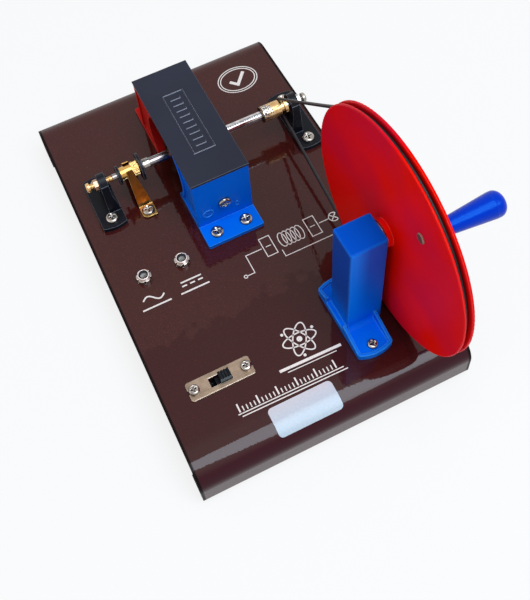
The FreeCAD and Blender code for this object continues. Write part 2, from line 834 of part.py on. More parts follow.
def pulley():
    x0 = pulley_left_x
    x1 = pulley_left_x + pulley_length
    body = rod_x(x0, x1, shaft_y, shaft_z, pulley_r)
    half = belt_slot / 2
    ring = rod_x(pulley_groove_x - half, pulley_groove_x + half, shaft_y, shaft_z, pulley_r + over)
    ring = ring.cut(rod_x(pulley_groove_x - half, pulley_groove_x + half, shaft_y, shaft_z, pulley_groove_r))
    body = body.cut(ring)
    body = body.cut(rod_x(x0 - over, x1 + over, shaft_y, shaft_z, shaft_r))
    return body.cut(rod_z(pulley_screw_x, shaft_y, shaft_z, shaft_z + 2 * pulley_r, pulley_screw_r))


# ============================================== bearing brackets and pivots
def bearing_bracket(post_x, sense, foot_y, foot_half):
    """Inverted-T moulding: a foot, a ribbed post and a boss for the pivot."""
    foot_x = post_x + sense * foot_shift
    half_w = bracket_foot_width / 2
    z0 = base_height
    z1 = base_height + bracket_foot_h
    reach = foot_half + over
    foot = box(foot_x - half_w, foot_x + half_w, foot_y - reach, foot_y + reach, z0, z1)
    foot = foot.common(rod_z(foot_x, foot_y, z0, z1, foot_half))
    web = post_side(post_x, post_web, 0, z1)
    root_x = post_x - sense * post_flare / 2
    root_width = post_width + post_flare
    frame = post_side(root_x, root_width, 0, z1).cut(post_side(root_x, root_width, post_flange, z1))
    frame = frame.common(post_front(post_x, sense, z1))
    boss = rod_x(post_x - post_width / 2, post_x + post_width / 2, shaft_y, shaft_z, boss_r)
    bracket = foot.fuse([web, frame, boss]).removeSplitter()
    holes = [rod_x(post_x - post_width, post_x + post_width, shaft_y, shaft_z, pivot_r + pivot_clear)]
    for spot in bracket_screw_points():
        if abs(spot.x - foot_x) < half_w:
            holes.append(rod_z(spot.x, spot.y, z0 - over, z1 + over, screw_hole_r))
    return bracket.cut(holes)


def post_front(post_x, sense, low_z):
    """Post outline in XZ, straight outside and flared inside, extruded along Y."""
    outer = post_x + sense * post_width / 2
    inner = post_x - sense * post_width / 2
    y = shaft_y - post_foot_half - over
    flare_z = shaft_z - boss_r
    top_z = shaft_z + boss_r
    points = [Vec(outer, y, low_z), Vec(inner - sense * post_flare, y, low_z), Vec(inner, y, flare_z),
              Vec(inner, y, top_z), Vec(outer, y, top_z)]
    return polygon(points).extrude(Vec(0, 2 * (post_foot_half + over), 0))


def post_side(x, width, inset, low_z):
    """Tapered post outline in YZ, shrunk by inset, extruded along X about x."""
    low_half = post_foot_half - inset
    top_half = boss_r - inset / 2
    top_z = shaft_z + boss_r / 3
    points = [Vec(x - width / 2, shaft_y - low_half, low_z), Vec(x - width / 2, shaft_y + low_half, low_z),
              Vec(x - width / 2, shaft_y + top_half, top_z), Vec(x - width / 2, shaft_y - top_half, top_z)]
    return polygon(points).extrude(Vec(width, 0, 0))


def pivot_screw(end_x, post_x, sense, show):
    """Pivot screw outside the shaft end at end_x; sense is +1 on the right."""
    axis = Vec(sense, 0, 0)
    tip = Vec(end_x - sense * pivot_tip_length, shaft_y, shaft_z)
    shoulder = Vec(end_x + sense * pivot_hold, shaft_y, shaft_z)
    head_x = post_x + sense * (post_width / 2 + nut_h + show)
    head = Vec(head_x, shaft_y, shaft_z)
    pin = Part.makeCylinder(pivot_tip_r, pivot_tip_length + pivot_hold + over, tip, axis)
    thread = Part.makeCylinder(pivot_r, abs(head_x - shoulder.x), shoulder, axis)
    knob = Part.makeCylinder(pivot_head_r, pivot_head_h, head, axis)
    outside = [e for e in knob.Edges if e.Closed and (e.CenterOfMass - head).dot(axis) > pivot_head_h / 2]
    knob = knob.makeFillet(pivot_head_h / 2, outside)
    slot_x = head_x + sense * pivot_head_h
    slot = box(slot_x - pivot_head_h / 2, slot_x + pivot_head_h / 2, shaft_y - 2 * pivot_head_r,
               shaft_y + 2 * pivot_head_r, shaft_z - pivot_slot / 2, shaft_z + pivot_slot / 2)
    return pin.fuse([thread, knob]).removeSplitter().cut(slot)


def pivot_nut(post_x, sense):
    base = Vec(post_x + sense * (post_width / 2 + seat_gap), shaft_y, shaft_z)
    return hex_nut(base, Vec(sense, 0, 0), pivot_r + pivot_clear)


# ================================================================== brushes
def brush_foot(z0, z1):
    """Plan of the front brush's foot, with one corner of its end well rounded."""
    fold_y = shaft_y - brush_fold_back
    foot = box(brush_left_x, brush_left_x + brush_foot_width, fold_y - brush_foot_length, fold_y, z0, z1)
    end = brush_screw_y()
    foot = foot.makeFillet(brush_end_round, edges_along(foot, Vec(0, 0, 1),
                                                        lambda p: p.y < end and p.x < brush_x))
    return foot.makeFillet(brush_corner_r, edges_along(foot, Vec(0, 0, 1),
                                                       lambda p: p.y < end and p.x > brush_x))


def brush_screw_y():
    return shaft_y - brush_fold_back - brush_foot_length + brush_screw_inset


def front_brush():
    """Flat foot and a leaning leaf, tapered on its right, that just clears the commutator."""
    seat_z = base_height + pad_h
    fold_y = shaft_y - brush_fold_back
    fold_z = seat_z + brush_sheet / 2
    reach = math.hypot(brush_fold_back, shaft_z - fold_z)
    to_axis = math.atan2(shaft_z - fold_z, brush_fold_back)
    lean = to_axis + math.asin((segment_r + brush_clear + brush_sheet / 2) / reach)
    along = Vec(0, math.cos(lean), math.sin(lean))
    across = Vec(0, -math.sin(lean), math.cos(lean))
    length = (shaft_z + brush_above - fold_z) / math.sin(lean)
    origin = Vec(brush_left_x, fold_y, fold_z) - across * (brush_sheet / 2)
    leaf = polygon([origin, origin + Vec(brush_foot_width, 0, 0),
                    origin + along * length + Vec(brush_tip_width, 0, 0),
                    origin + along * length]).extrude(across * brush_sheet)
    foot = brush_foot(seat_z, seat_z + brush_sheet)
    knuckle = rod_x(brush_left_x, brush_left_x + brush_foot_width, fold_y, fold_z, brush_sheet / 2)
    brush = foot.fuse([leaf, knuckle])
    spot = brush_screw_points()[0]
    return brush.cut(rod_z(spot.x, spot.y, seat_z - over, seat_z + brush_sheet + over, screw_hole_r))


def brush_insulators():
    """Fibre pad with its bush on top of the sheet, and a washer below it."""
    pieces = []
    front = brush_foot(base_height, base_height + pad_h)
    rear = front.mirror(Vec(0, shaft_y, 0), Vec(0, 1, 0))
    for plan, spot in zip((front, rear), brush_screw_points()):
        pad = plan.fuse(rod_z(spot.x, spot.y, underside_z, base_height, bush_r)).removeSplitter()
        washer = rod_z(spot.x, spot.y, underside_z - pad_h, underside_z, screw_hole_r + under_washer_wall)
        bore = rod_z(spot.x, spot.y, 0, 2 * base_height, screw_hole_r)
        pieces += [pad.cut(bore), washer.cut(bore)]
    return pieces


# ============================================================== wheel tower
def tower_foot(y_start, y_end, round_r):
    """Shallow tray from the tower's face at y_start out to its curved end at y_end."""
    x0 = tower_x + tray_shift - tray_width / 2
    x_mid = tower_x + tray_shift
    x1 = x0 + tray_width
    z0 = base_height
    low, high = min(y_start, y_end), max(y_start, y_end)
    sense = 1 if y_end > y_start else -1
    arc_y = y_end - sense * tray_end_arc_r
    tray = box(x0, x1, low - over * (sense < 0), high + over * (sense > 0), z0, z0 + tray_floor + tray_rim_h)
    tray = tray.common(rod_z(x_mid, arc_y, z0 - over, z0 + gusset_h, tray_end_arc_r))
    corners = edges_along(tray, Vec(0, 0, 1), lambda p: (p.y - (low + high) / 2) * sense > 0)
    tray = tray.makeFillet(round_r, corners)
    pocket = box(x0 + tray_rim, x1 - tray_rim, low, high, z0 + tray_floor, z0 + tray_floor + tower_depth)
    tray = tray.cut(pocket.common(rod_z(x_mid, arc_y, z0, z0 + tower_depth, tray_end_arc_r - tray_rim)))
    corner_y = arc_y + sense * math.sqrt(tray_end_arc_r ** 2 - (tray_width / 2) ** 2)
    wedge_y = corner_y - sense * round_r
    wedge = polygon([Vec(x0, y_start, z0), Vec(x0, wedge_y, z0),
                     Vec(x0, wedge_y, z0 + tray_floor + tray_rim_h), Vec(x0, y_start, z0 + gusset_h)])
    left = wedge.extrude(Vec(tray_rim, 0, 0))
    right = left.copy()
    right.translate(Vec(tray_width - tray_rim, 0, 0))
    return tray.fuse([left, right])


def wheel_tower():
    x0 = tower_x - tower_width / 2
    x1 = tower_x + tower_width / 2
    y0 = tower_y - tower_depth / 2
    y1 = tower_y + tower_depth / 2
    post = box(x0, x1, y0, y1, base_height, tower_top_z)
    post = post.makeFillet(tower_edge_r, edges_along(post, Vec(0, 0, 1), lambda p: True))
    crown = [e for e in post.Edges if e.CenterOfMass.z > tower_top_z - 1e-3]
    post = post.makeFillet(tower_crown_r, crown)
    tray_x = tower_x + tray_shift
    plinth = box(tray_x - tray_width / 2, tray_x + tray_width / 2, y0, y1, base_height,
                 base_height + tray_floor + tray_rim_h)
    feet = [tower_foot(y0, y0 - tray_front, tray_round), tower_foot(y1, y1 + tray_rear, tray_round)]
    floor_z = base_height + tray_floor
    tray_right_x = tray_x + tray_width / 2
    cove = box(x0, tray_right_x, y0 - tower_cove_r, y0 + tower_edge_r, base_height, floor_z + tower_cove_r)
    cove = cove.cut(rod_x(x0 - over, x1 + over, y0 - tower_cove_r, floor_z + tower_cove_r, tower_cove_r))
    tower = post.fuse([plinth, cove] + feet).removeSplitter()
    core = box(x0 + tower_wall, x1 - tower_wall, y0 + tower_wall, y1 - tower_wall,
               base_height - over, tower_top_z - tower_solid_top)
    cuts = [core, rod_x(x1 - axle_thread_length - axle_tip_gap, x1 + over, wheel_y, wheel_z, axle_thread_r)]
    for spot in tower_screw_points():
        cuts.append(rod_z(spot.x, spot.y, base_height - over, base_height + tray_floor + over, screw_hole_r))
    return tower.cut(cuts)


# =============================================================== wheel, axle
def hub_span():
    """Ends of the wheel's bush along X, clear of the washers on both sides."""
    left = tower_right_x + seat_gap + washer_h + wheel_side_gap
    right = wheel_right_x + hub_boss_h
    return left, right


def wheel_disc(x0, x1):
    disc = rod_x(x0, x1, wheel_y, wheel_z, wheel_r)
    rims = [e for e in disc.Edges if e.Closed]
    return disc.makeFillet(rim_edge_r, rims)


def wheel_cuts():
    left, right = hub_span()
    return [rod_x(left - over, right + over, wheel_y, wheel_z, axle_r + axle_clear + wheel_bush_wall),
            rod_x(left - over, right + over, crank_pin_y, crank_pin_z, crank_pin_r)]


def wheel_left_disc():
    disc = wheel_disc(wheel_left_x, wheel_left_x + left_disc_h)
    boss = rod_x(tower_right_x + left_boss_gap, wheel_left_x + left_disc_h / 2, wheel_y, wheel_z, left_boss_r)
    return disc.fuse(boss).removeSplitter().cut(wheel_cuts())


def wheel_right_disc():
    x0 = wheel_left_x + left_disc_h
    disc = wheel_disc(x0 + belt_slot, wheel_right_x)
    core = rod_x(x0, x0 + belt_slot, wheel_y, wheel_z, groove_floor_r)
    boss = rod_x(wheel_right_x - right_disc_h / 2, wheel_right_x + hub_boss_h, wheel_y, wheel_z, hub_boss_r)
    return disc.fuse([core, boss]).removeSplitter().cut(wheel_cuts())


def wheel_bush():
    left, right = hub_span()
    bush = rod_x(left, right, wheel_y, wheel_z, axle_r + axle_clear + wheel_bush_wall)
    return bush.cut(rod_x(left - over, right + over, wheel_y, wheel_z, axle_r + axle_clear))


def axle_head_x():
    return hub_span()[1] + wheel_side_gap + washer_h + seat_gap


def wheel_axle():
    """Shouldered screw: thread in the tower, plain shoulder in the bush."""
    seat = Vec(axle_head_x(), wheel_y, wheel_z)
    shoulder = axle_head_x() - tower_right_x - seat_gap
    screw = pan_screw(seat, Vec(1, 0, 0), axle_head_r, axle_r, shoulder, axle_head_h)
    thread = rod_x(tower_right_x - axle_thread_length, tower_right_x + over, wheel_y, wheel_z, axle_thread_r)
    return screw.fuse(thread).removeSplitter()


def wheel_washers():
    inner_x = tower_right_x + seat_gap
    outer_x = axle_head_x() - seat_gap - washer_h
    washers = []
    for x in (inner_x, outer_x):
        washer = rod_x(x, x + washer_h, wheel_y, wheel_z, axle_r + washer_wall)
        washers.append(washer.cut(rod_x(x - over, x + washer_h + over, wheel_y, wheel_z, axle_r)))
    return washers


# ============================================================= crank handle
def crank_pin():
    """Pin riveted on the wheel's left face, with its keeper collar in the grip."""
    rivet = Part.makeCylinder(crank_pin_r + rivet_over_pin, rivet_h,
                              Vec(wheel_left_x, crank_pin_y, crank_pin_z), Vec(-1, 0, 0))
    edge = [e for e in rivet.Edges if e.Closed and e.CenterOfMass.x < wheel_left_x - rivet_h / 2]
    rivet = rivet.makeFillet(rivet_h / 2, edge)
    pin = rod_x(wheel_left_x - rivet_h / 2, keeper_x + keeper_h, crank_pin_y, crank_pin_z, crank_pin_r)
    keeper = rod_x(keeper_x, keeper_x + keeper_h, crank_pin_y, crank_pin_z, keeper_r)
    return rivet.fuse([pin, keeper]).removeSplitter()


def crank_nut():
    nut = hex_prism(Vec(wheel_right_x, crank_pin_y, crank_pin_z), Vec(1, 0, 0), crank_nut_flats, nut_h)
    return nut.cut(rod_x(wheel_right_x - over, wheel_right_x + nut_h + over, crank_pin_y, crank_pin_z,
                         crank_pin_r))


def crank_grip():
    """Tapered grip, hollow at its wide end for the keeper collar."""
    x0 = grip_left_x
    x1 = grip_right_x
    grip = Part.makeCone(grip_neck_r, grip_end_r, grip_length, Vec(x0, crank_pin_y, crank_pin_z),
                         Vec(1, 0, 0))
    neck = [e for e in grip.Edges if e.Closed and e.CenterOfMass.x < x0 + grip_length / 2]
    grip = grip.makeFillet(crank_pin_r / 2, neck)
    bore = rod_x(x0 - over, x1 - cavity_length, crank_pin_y, crank_pin_z, crank_pin_r + crank_pin_clear)
    cavity = rod_x(x1 - cavity_length, x1 + over, crank_pin_y, crank_pin_z, cavity_r)
    return grip.cut(bore).cut(cavity)


def crank_cap():
    """Domed end of the grip, plugged into its hollow."""
    x1 = grip_right_x
    cap = rod_x(x1, x1 + cap_length, crank_pin_y, crank_pin_z, grip_end_r)
    outside = [e for e in cap.Edges if e.Closed and e.CenterOfMass.x > x1 + cap_length / 2]
    cap = cap.makeFillet(min(cap_round_r, cap_length - seat_gap), outside)
    plug = rod_x(keeper_x + keeper_h + plug_gap, x1 + over, crank_pin_y, crank_pin_z, cavity_r)
    return cap.fuse(plug).removeSplitter()


# =============================================================== drive belt
def belt_radii():
    wheel_belt_r = groove_floor_r + belt_clear + belt_r
    pulley_belt_r = pulley_groove_r + belt_clear + belt_r
    return wheel_belt_r, pulley_belt_r


def belt_run(start, end, along):
    """Corner points of one run, from the wheel's plane over to the pulley's plane."""
    return [start, start + along * belt_lead_wheel, end - along * belt_lead_pulley, end]


def belt_path():
    """Closed open-belt path: an arc in each groove and two runs between them."""
    big, small = belt_radii()
    away = Vec(0, shaft_y - wheel_y, shaft_z - wheel_z)
    span = away.Length
    away.normalize()
    up = Vec(0, -away.z, away.y)
    lean = math.asin((big - small) / span)
    top = up * math.cos(lean) + away * math.sin(lean)
    bottom = up * -math.cos(lean) + away * math.sin(lean)
    wheel_mid = Vec(belt_wheel_x, wheel_y, wheel_z)
    pulley_mid = Vec(pulley_groove_x, shaft_y, shaft_z)
    wheel_arc = Part.Arc(wheel_mid + bottom * big, wheel_mid - away * big, wheel_mid + top * big)
    pulley_arc = Part.Arc(pulley_mid + top * small, pulley_mid + away * small, pulley_mid + bottom * small)
    upper_way = away * math.cos(lean) - up * math.sin(lean)
    lower_way = away * math.cos(lean) + up * math.sin(lean)
    upper = belt_run(wheel_mid + top * big, pulley_mid + top * small, upper_way)
    lower = belt_run(wheel_mid + bottom * big, pulley_mid + bottom * small, lower_way)
    return ([wheel_arc.toShape()] + rounded_path(upper)
            + [pulley_arc.toShape()] + rounded_path(lower[::-1]))


# ============================================================= slide switch
def switch_plate():
    half_l = switch_plate_length / 2
    half_w = switch_plate_width / 2
    z0 = base_height
    z1 = base_height + switch_plate_h
    plate = box(switch_x - half_l, switch_x + half_l, switch_y - half_w, switch_y + half_w, z0, z1)
    plate = plate.makeFillet(switch_notch, edges_along(plate, Vec(0, 0, 1), lambda p: True))
    plate = plate.makeFillet(plate_edge_r, [e for e in plate.Edges if e.CenterOfMass.z > z1 - 1e-3])
    cuts = [box(switch_x - switch_slot_length / 2, switch_x + switch_slot_length / 2,
                switch_y - switch_slot_width / 2, switch_y + switch_slot_width / 2, z0 - over, z1 + over)]
    for spot in switch_screw_points():
        cuts.append(rod_z(spot.x, spot.y, z0 - over, z1 + over, switch_screw_r + switch_hole_clear))
        end = 1 if spot.x > switch_x else -1
        cuts.append(rod_z(switch_x + end * (half_l + switch_notch / 2), switch_y, z0 - over, z1 + over,
                          switch_notch))
    return plate.cut(cuts)


def switch_housing():
    """Insulating box under the sheet, open at the top where the slider runs."""
    half_l = housing_length / 2
    half_w = housing_width / 2
    ear_half = switch_plate_length / 2
    top = underside_z
    low = housing_floor_z
    shell = box(switch_x - half_l, switch_x + half_l, switch_y - half_w, switch_y + half_w, low, top)
    shell = shell.makeFillet(housing_wall, edges_along(shell, Vec(0, 0, 1), lambda p: True))
    ears = box(switch_x - ear_half, switch_x + ear_half, switch_y - half_w, switch_y + half_w,
               top - ear_h, top)
    cuts = [box(switch_x - half_l + housing_wall, switch_x + half_l - housing_wall,
                switch_y - half_w + housing_wall, switch_y + half_w - housing_wall,
                low + housing_wall, top + over)]
    for spot in switch_screw_points():
        cuts.append(rod_z(spot.x, spot.y, low, top + over, switch_screw_r + switch_hole_clear))
    return shell.fuse(ears).removeSplitter().cut(cuts)


def switch_slider():
    """Ribbed knob and its tongue inside the housing, at the right-hand stop."""
    x1 = switch_x + switch_slot_length / 2 - knob_clear
    x0 = x1 - knob_length
    half_w = knob_width / 2
    top = base_height + switch_plate_h + knob_rise
    low = housing_floor_z + housing_wall + knob_clear
    knob = box(x0, x1, switch_y - half_w, switch_y + half_w, underside_z - 2 * knob_clear, top)
    pitch = knob_length / knob_ribs
    for k in range(1, knob_ribs):
        x = x0 + k * pitch
        knob = knob.cut(box(x - pitch / 4, x + pitch / 4, switch_y - knob_width,
                            switch_y + knob_width, top - knob_rib_depth, top + over))
    tongue_half = housing_width / 2 - housing_wall - knob_clear
    tongue = box(x0 - tongue_over, x1 + tongue_over, switch_y - tongue_half, switch_y + tongue_half,
                 low, underside_z - knob_clear)
    return knob.fuse(tongue).removeSplitter()


def terminal_points():
    """Switch tags by (column, row): the middle column takes the brushes."""
    spots = {}
    for column in (-1, 0, 1):
        for row in (-1, 1):
            spots[(column, row)] = Vec(switch_x + column * terminal_pitch,
                                       switch_y + row * terminal_row / 2,
                                       housing_floor_z)
    return spots


def switch_terminals():
    tags = []
    half = terminal_size / 2
    for top in terminal_points().values():
        tags.append(box(top.x - half, top.x + half, top.y - tag_thick / 2, top.y + tag_thick / 2,
                        top.z - terminal_h, top.z))
    return tags


def switch_nut(spot):
    z = underside_z - ear_h - seat_gap - switch_nut_h
    nut = hex_prism(Vec(spot.x, spot.y, z), Vec(0, 0, 1), switch_nut_flats, switch_nut_h)
    return nut.cut(rod_z(spot.x, spot.y, 0, base_height, switch_screw_r))


# =========================================================== output sockets
def socket_barrel(spot):
    """Metal sleeve through the sheet, with a collar and a tag below it."""
    low = underside_z - collar_h
    high = base_height + barrel_rise
    sleeve = rod_z(spot.x, spot.y, low, high, barrel_r)
    rim = [e for e in sleeve.Edges if e.Closed and e.CenterOfMass.z > high - 1e-3]
    sleeve = sleeve.makeFillet(barrel_edge_r, rim)
    collar = rod_z(spot.x, spot.y, low, underside_z, barrel_collar_r)
    tag = box(spot.x + barrel_collar_r - tag_thick, spot.x + barrel_collar_r,
              spot.y - tag_width / 2, spot.y + tag_width / 2, low - tag_h, underside_z - collar_h / 2)
    sleeve = sleeve.fuse([collar, tag]).removeSplitter()
    return sleeve.cut(rod_z(spot.x, spot.y, low - over, high + over, liner_r))


def socket_liner(spot):
    """Insulating core that the plug goes into, with its body under the sheet."""
    high = base_height + barrel_rise - liner_sink
    neck = underside_z - collar_h
    low = socket_floor_z
    liner = rod_z(spot.x, spot.y, neck, high, liner_r)
    body = rod_z(spot.x, spot.y, low, neck, body_r)
    liner = liner.fuse(body).removeSplitter()
    seat = rod_z(spot.x, spot.y, low + body_floor, high + over, contact_r)
    bore = rod_z(spot.x, spot.y, low + body_floor + contact_h + contact_sink, high + over, socket_bore_r)
    return liner.cut([seat, bore, socket_contact(spot)])


def socket_nut(spot):
    """Round nut with notches for a peg spanner."""
    z0 = base_height
    nut = rod_z(spot.x, spot.y, z0, z0 + socket_nut_h, socket_nut_r)
    cuts = [rod_z(spot.x, spot.y, z0 - over, z0 + 2 * socket_nut_h, barrel_r)]
    for k in range(nut_notches):
        notch = box(spot.x + barrel_r + notch_wall, spot.x + 2 * socket_nut_r,
                    spot.y - notch_w / 2, spot.y + notch_w / 2,
                    z0 + notch_floor, z0 + 2 * socket_nut_h)
        notch.rotate(Vec(spot.x, spot.y, 0), Vec(0, 0, 1), 360 * k / nut_notches + notch_turn)
        cuts.append(notch)
    return nut.cut(cuts)


def socket_contact(spot):
    """Round contact in a seat at the end of the bore, with its solder tag below the body."""
    floor = socket_floor_z
    disc = rod_z(spot.x, spot.y, floor + body_floor, floor + body_floor + contact_h, contact_r)
    tag = box(spot.x - tag_width / 2, spot.x + tag_width / 2, spot.y - tag_thick / 2,
              spot.y + tag_thick / 2, floor - tag_h, floor + body_floor + contact_h / 2)
    return disc.fuse(tag).removeSplitter()


# ==================================================== leads under the base
def routed_lead(start, tag, run_z, lane_x):
    """Lead from a start point, down to its run, along its lane and up to a switch tag."""
    corners = [start, Vec(start.x, start.y, run_z), Vec(lane_x, start.y - lane_start, run_z),
               Vec(lane_x, switch_y + lane_end, run_z), Vec(tag.x, tag.y, run_z), tag]
    return tube(rounded_path(corners), wire_r)


def all_leads():
    """Red and black leads: brushes to the switch, switch to both sockets."""
    tags = terminal_points()
    for tag in tags.values():
        tag.z -= terminal_h
    brush_z = underside_z - pad_h - seat_gap - nut_h - screw_tail
    front, rear = [Vec(s.x, s.y, brush_z) for s in brush_screw_points()]
    starts = {0: (front, rear)}
    for column, spot in zip((-1, 1), socket_points()):
        contact = Vec(spot.x, spot.y, socket_floor_z - tag_h)
        sleeve = Vec(spot.x + barrel_collar_r - tag_thick / 2, spot.y, underside_z - collar_h - tag_h)
        starts[column] = (contact, sleeve)
    red, black = [], []
    for column in (-1, 0, 1):
        lane_x = switch_x + column * terminal_pitch
        live, back = starts[column]
        red.append(routed_lead(live, tags[(column, -1)], red_run_z, lane_x - lane_pitch / 2))
        black.append(routed_lead(back, tags[(column, 1)], black_run_z, lane_x + lane_pitch / 2))
    return red, black


# =================================================================== output
def save_base():
    save("base_panel", base_panel())
    pole = front_pole()
    save("front_pole", pole)
    save("rear_pole", spun_180(pole))
    magnet = front_magnet()
    save("front_magnet", magnet)
    save("rear_magnet", spun_180(magnet))
    clamp = front_magnet_screw()
    save("magnet_screws", clamp, spun_180(clamp))
    foot_top = base_height + foot_h
    depth = screw_depth(foot_top)
    save("pole_screws", *[down_screw(s.x, s.y, foot_top, depth) for s in pole_screw_points()])
    save("pole_nuts", *[under_nut(s, underside_z) for s in pole_screw_points()])
    save("top_cover", top_cover())


def save_bearings():
    save("left_bearing_bracket", bearing_bracket(left_post_x, -1, shaft_y, left_foot_half))
    save("right_bearing_bracket",
         bearing_bracket(right_post_x, 1, shaft_y + right_foot_shift, right_foot_half))
    seat = base_height + bracket_foot_h
    depth = screw_depth(seat)
    save("bracket_screws", *[down_screw(s.x, s.y, seat, depth) for s in bracket_screw_points()])
    save("bracket_nuts", *[under_nut(s, underside_z) for s in bracket_screw_points()])
    save("left_pivot_screw", pivot_screw(shaft_left_x, left_post_x, -1, left_pivot_show))
    save("right_pivot_screw", pivot_screw(shaft_right_x, right_post_x, 1, right_pivot_show))
    save("pivot_nuts", pivot_nut(left_post_x, -1), pivot_nut(right_post_x, 1))


def save_brushes():
    brush = front_brush()
    save("front_brush", brush)
    rear = brush.mirror(Vec(0, shaft_y, 0), Vec(0, 1, 0))
    save("rear_brush", rear)
    save("brush_insulators", *brush_insulators())
    seat = base_height + pad_h + brush_sheet
    depth = screw_depth(seat) + pad_h
    save("brush_screws", *[down_screw(s.x, s.y, seat, depth) for s in brush_screw_points()])
    save("brush_nuts", *[under_nut(s, underside_z - pad_h) for s in brush_screw_points()])


def save_wheel():
    save("wheel_tower", wheel_tower())
    seat = base_height + tray_floor
    depth = screw_depth(seat)
    save("tower_screws", *[down_screw(s.x, s.y, seat, depth, tower_head_r) for s in tower_screw_points()])
    save("tower_nuts", *[under_nut(s, underside_z) for s in tower_screw_points()])
    save("wheel_axle", wheel_axle())
    save("wheel_washers", *wheel_washers())
    save("wheel_left_disc", wheel_left_disc())
    save("wheel_right_disc", wheel_right_disc())
    save("wheel_bush", wheel_bush())
    save("crank_pin", crank_pin())
    save("crank_nut", crank_nut())
    save("crank_grip", crank_grip())
    save("crank_cap", crank_cap())
    save("drive_belt", tube(belt_path(), belt_r))


def save_armature():
    save("shaft", shaft())
    save("armature_core", armature_core())
    save("armature_winding", armature_winding())
    save("winding_leads", *winding_leads())
    save("commutator_hub", commutator_hub())
    save("commutator_segments", *commutator_segments())
    save("shaft_collar", shaft_collar())
    collar_mid = collar_left_x + collar_length / 2
    save("collar_screw", grub_screw(collar_mid, collar_screw_r, shaft_r, collar_r))
    save("pulley", pulley())
    save("pulley_screw", grub_screw(pulley_screw_x, pulley_screw_r, shaft_r, pulley_r))


def save_electrics():
    save("switch_plate", switch_plate())
    save("switch_housing", switch_housing())
    save("switch_terminals", *switch_terminals())
    seat = base_height + switch_plate_h
    depth = seat - underside_z + ear_h + switch_nut_h + screw_tail
    save("switch_screws", *[down_screw(s.x, s.y, seat, depth, switch_head_r, switch_screw_r)
                            for s in switch_screw_points()])
    save("switch_nuts", *[switch_nut(s) for s in switch_screw_points()])
    save("switch_slider", switch_slider())
    ac_spot, dc_spot = socket_points()
    save("ac_socket_barrel", socket_barrel(ac_spot))
    save("dc_socket_barrel", socket_barrel(dc_spot))
    save("ac_socket_liner", socket_liner(ac_spot))
    save("dc_socket_liner", socket_liner(dc_spot))
    save("socket_nuts", socket_nut(ac_spot), socket_nut(dc_spot))
    save("socket_contacts", socket_contact(ac_spot), socket_contact(dc_spot))
    red, black = all_leads()
    save("red_leads", *red)
    save("black_leads", *black)


os.makedirs("parts", exist_ok=True)
save_base()
save_bearings()
save_brushes()
save_wheel()
save_armature()
save_electrics()
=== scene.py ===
"""Looks of a hand-cranked demonstration generator on its painted steel base."""
import bpy
import bmesh
import math
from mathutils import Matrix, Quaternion, Vector


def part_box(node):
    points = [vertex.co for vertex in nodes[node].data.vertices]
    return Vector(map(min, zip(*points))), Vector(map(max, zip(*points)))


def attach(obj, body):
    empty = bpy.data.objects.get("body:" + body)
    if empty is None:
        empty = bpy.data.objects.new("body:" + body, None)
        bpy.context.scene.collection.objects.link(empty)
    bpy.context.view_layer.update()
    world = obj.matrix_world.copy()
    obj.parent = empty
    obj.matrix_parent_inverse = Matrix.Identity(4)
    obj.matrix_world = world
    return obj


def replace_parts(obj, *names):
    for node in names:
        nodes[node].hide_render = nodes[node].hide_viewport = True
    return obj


MM = 0.001

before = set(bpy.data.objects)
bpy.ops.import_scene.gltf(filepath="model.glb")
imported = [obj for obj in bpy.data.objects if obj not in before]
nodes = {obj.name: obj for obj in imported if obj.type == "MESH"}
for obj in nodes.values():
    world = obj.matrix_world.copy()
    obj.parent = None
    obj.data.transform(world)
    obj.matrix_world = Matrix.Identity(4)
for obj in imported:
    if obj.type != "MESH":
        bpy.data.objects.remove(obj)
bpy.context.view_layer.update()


# ------------------------------------------------------------ places on the base
base_low, base_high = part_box("base_panel")
base_mid = (base_low + base_high) / 2
base_top = base_high.z
bend_r = 12.0 * MM
bend_y = base_low.y + bend_r
shaft_low, shaft_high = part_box("shaft")
shaft_y = (shaft_low.y + shaft_high.y) / 2
shaft_z = (shaft_low.z + shaft_high.z) / 2
cover_low, cover_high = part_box("top_cover")
cover_relief = 0.5 * MM
tower_low, tower_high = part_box("wheel_tower")
tower_mid = (tower_low.x + tower_high.x) / 2
socket_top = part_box("ac_socket_liner")[1].z


def at(x, y, z):
    """Point in millimetres from the middle of the base, on the bench."""
    return Vector((base_mid.x + x * MM, base_mid.y + y * MM, z * MM))


def skin(x, s, rise):
    """Point on the base's outside, rise above it; s runs along Y and down the front bend."""
    y = base_mid.y + s * MM
    if y >= bend_y:
        return Vector((base_mid.x + x * MM, y, base_top + rise))
    turn = (bend_y - y) / bend_r
    reach = bend_r + rise
    return Vector((base_mid.x + x * MM, bend_y - reach * math.sin(turn),
                   base_top - bend_r + reach * math.cos(turn)))


# -------------------------------------------------------------------- materials
WHITE = (1.0, 1.0, 1.0, 1.0)
NOISE = (0.3, 0.7)          # the values between which a noise mostly lies
FINE = 0.012 * MM           # relief of grain and scratches
FAINT = 0.01 * MM           # relief of nearly smooth surfaces
TO_FRONT = (0.5, -0.85, 0.0)        # the way that a relief's flanks with a painted highlight face the way that its flanks with painted shade face
TO_REAR = (-0.5, 0.85, 0.0)         # the way that its dirty flanks face


def tone(red, green, blue):
    """Linear colour from display values of 0 to 255."""
    def line(value):
        value = value / 255
        return value / 12.92 if value <= 0.04045 else ((value + 0.055) / 1.055) ** 2.4
    return (line(red), line(green), line(blue), 1.0)


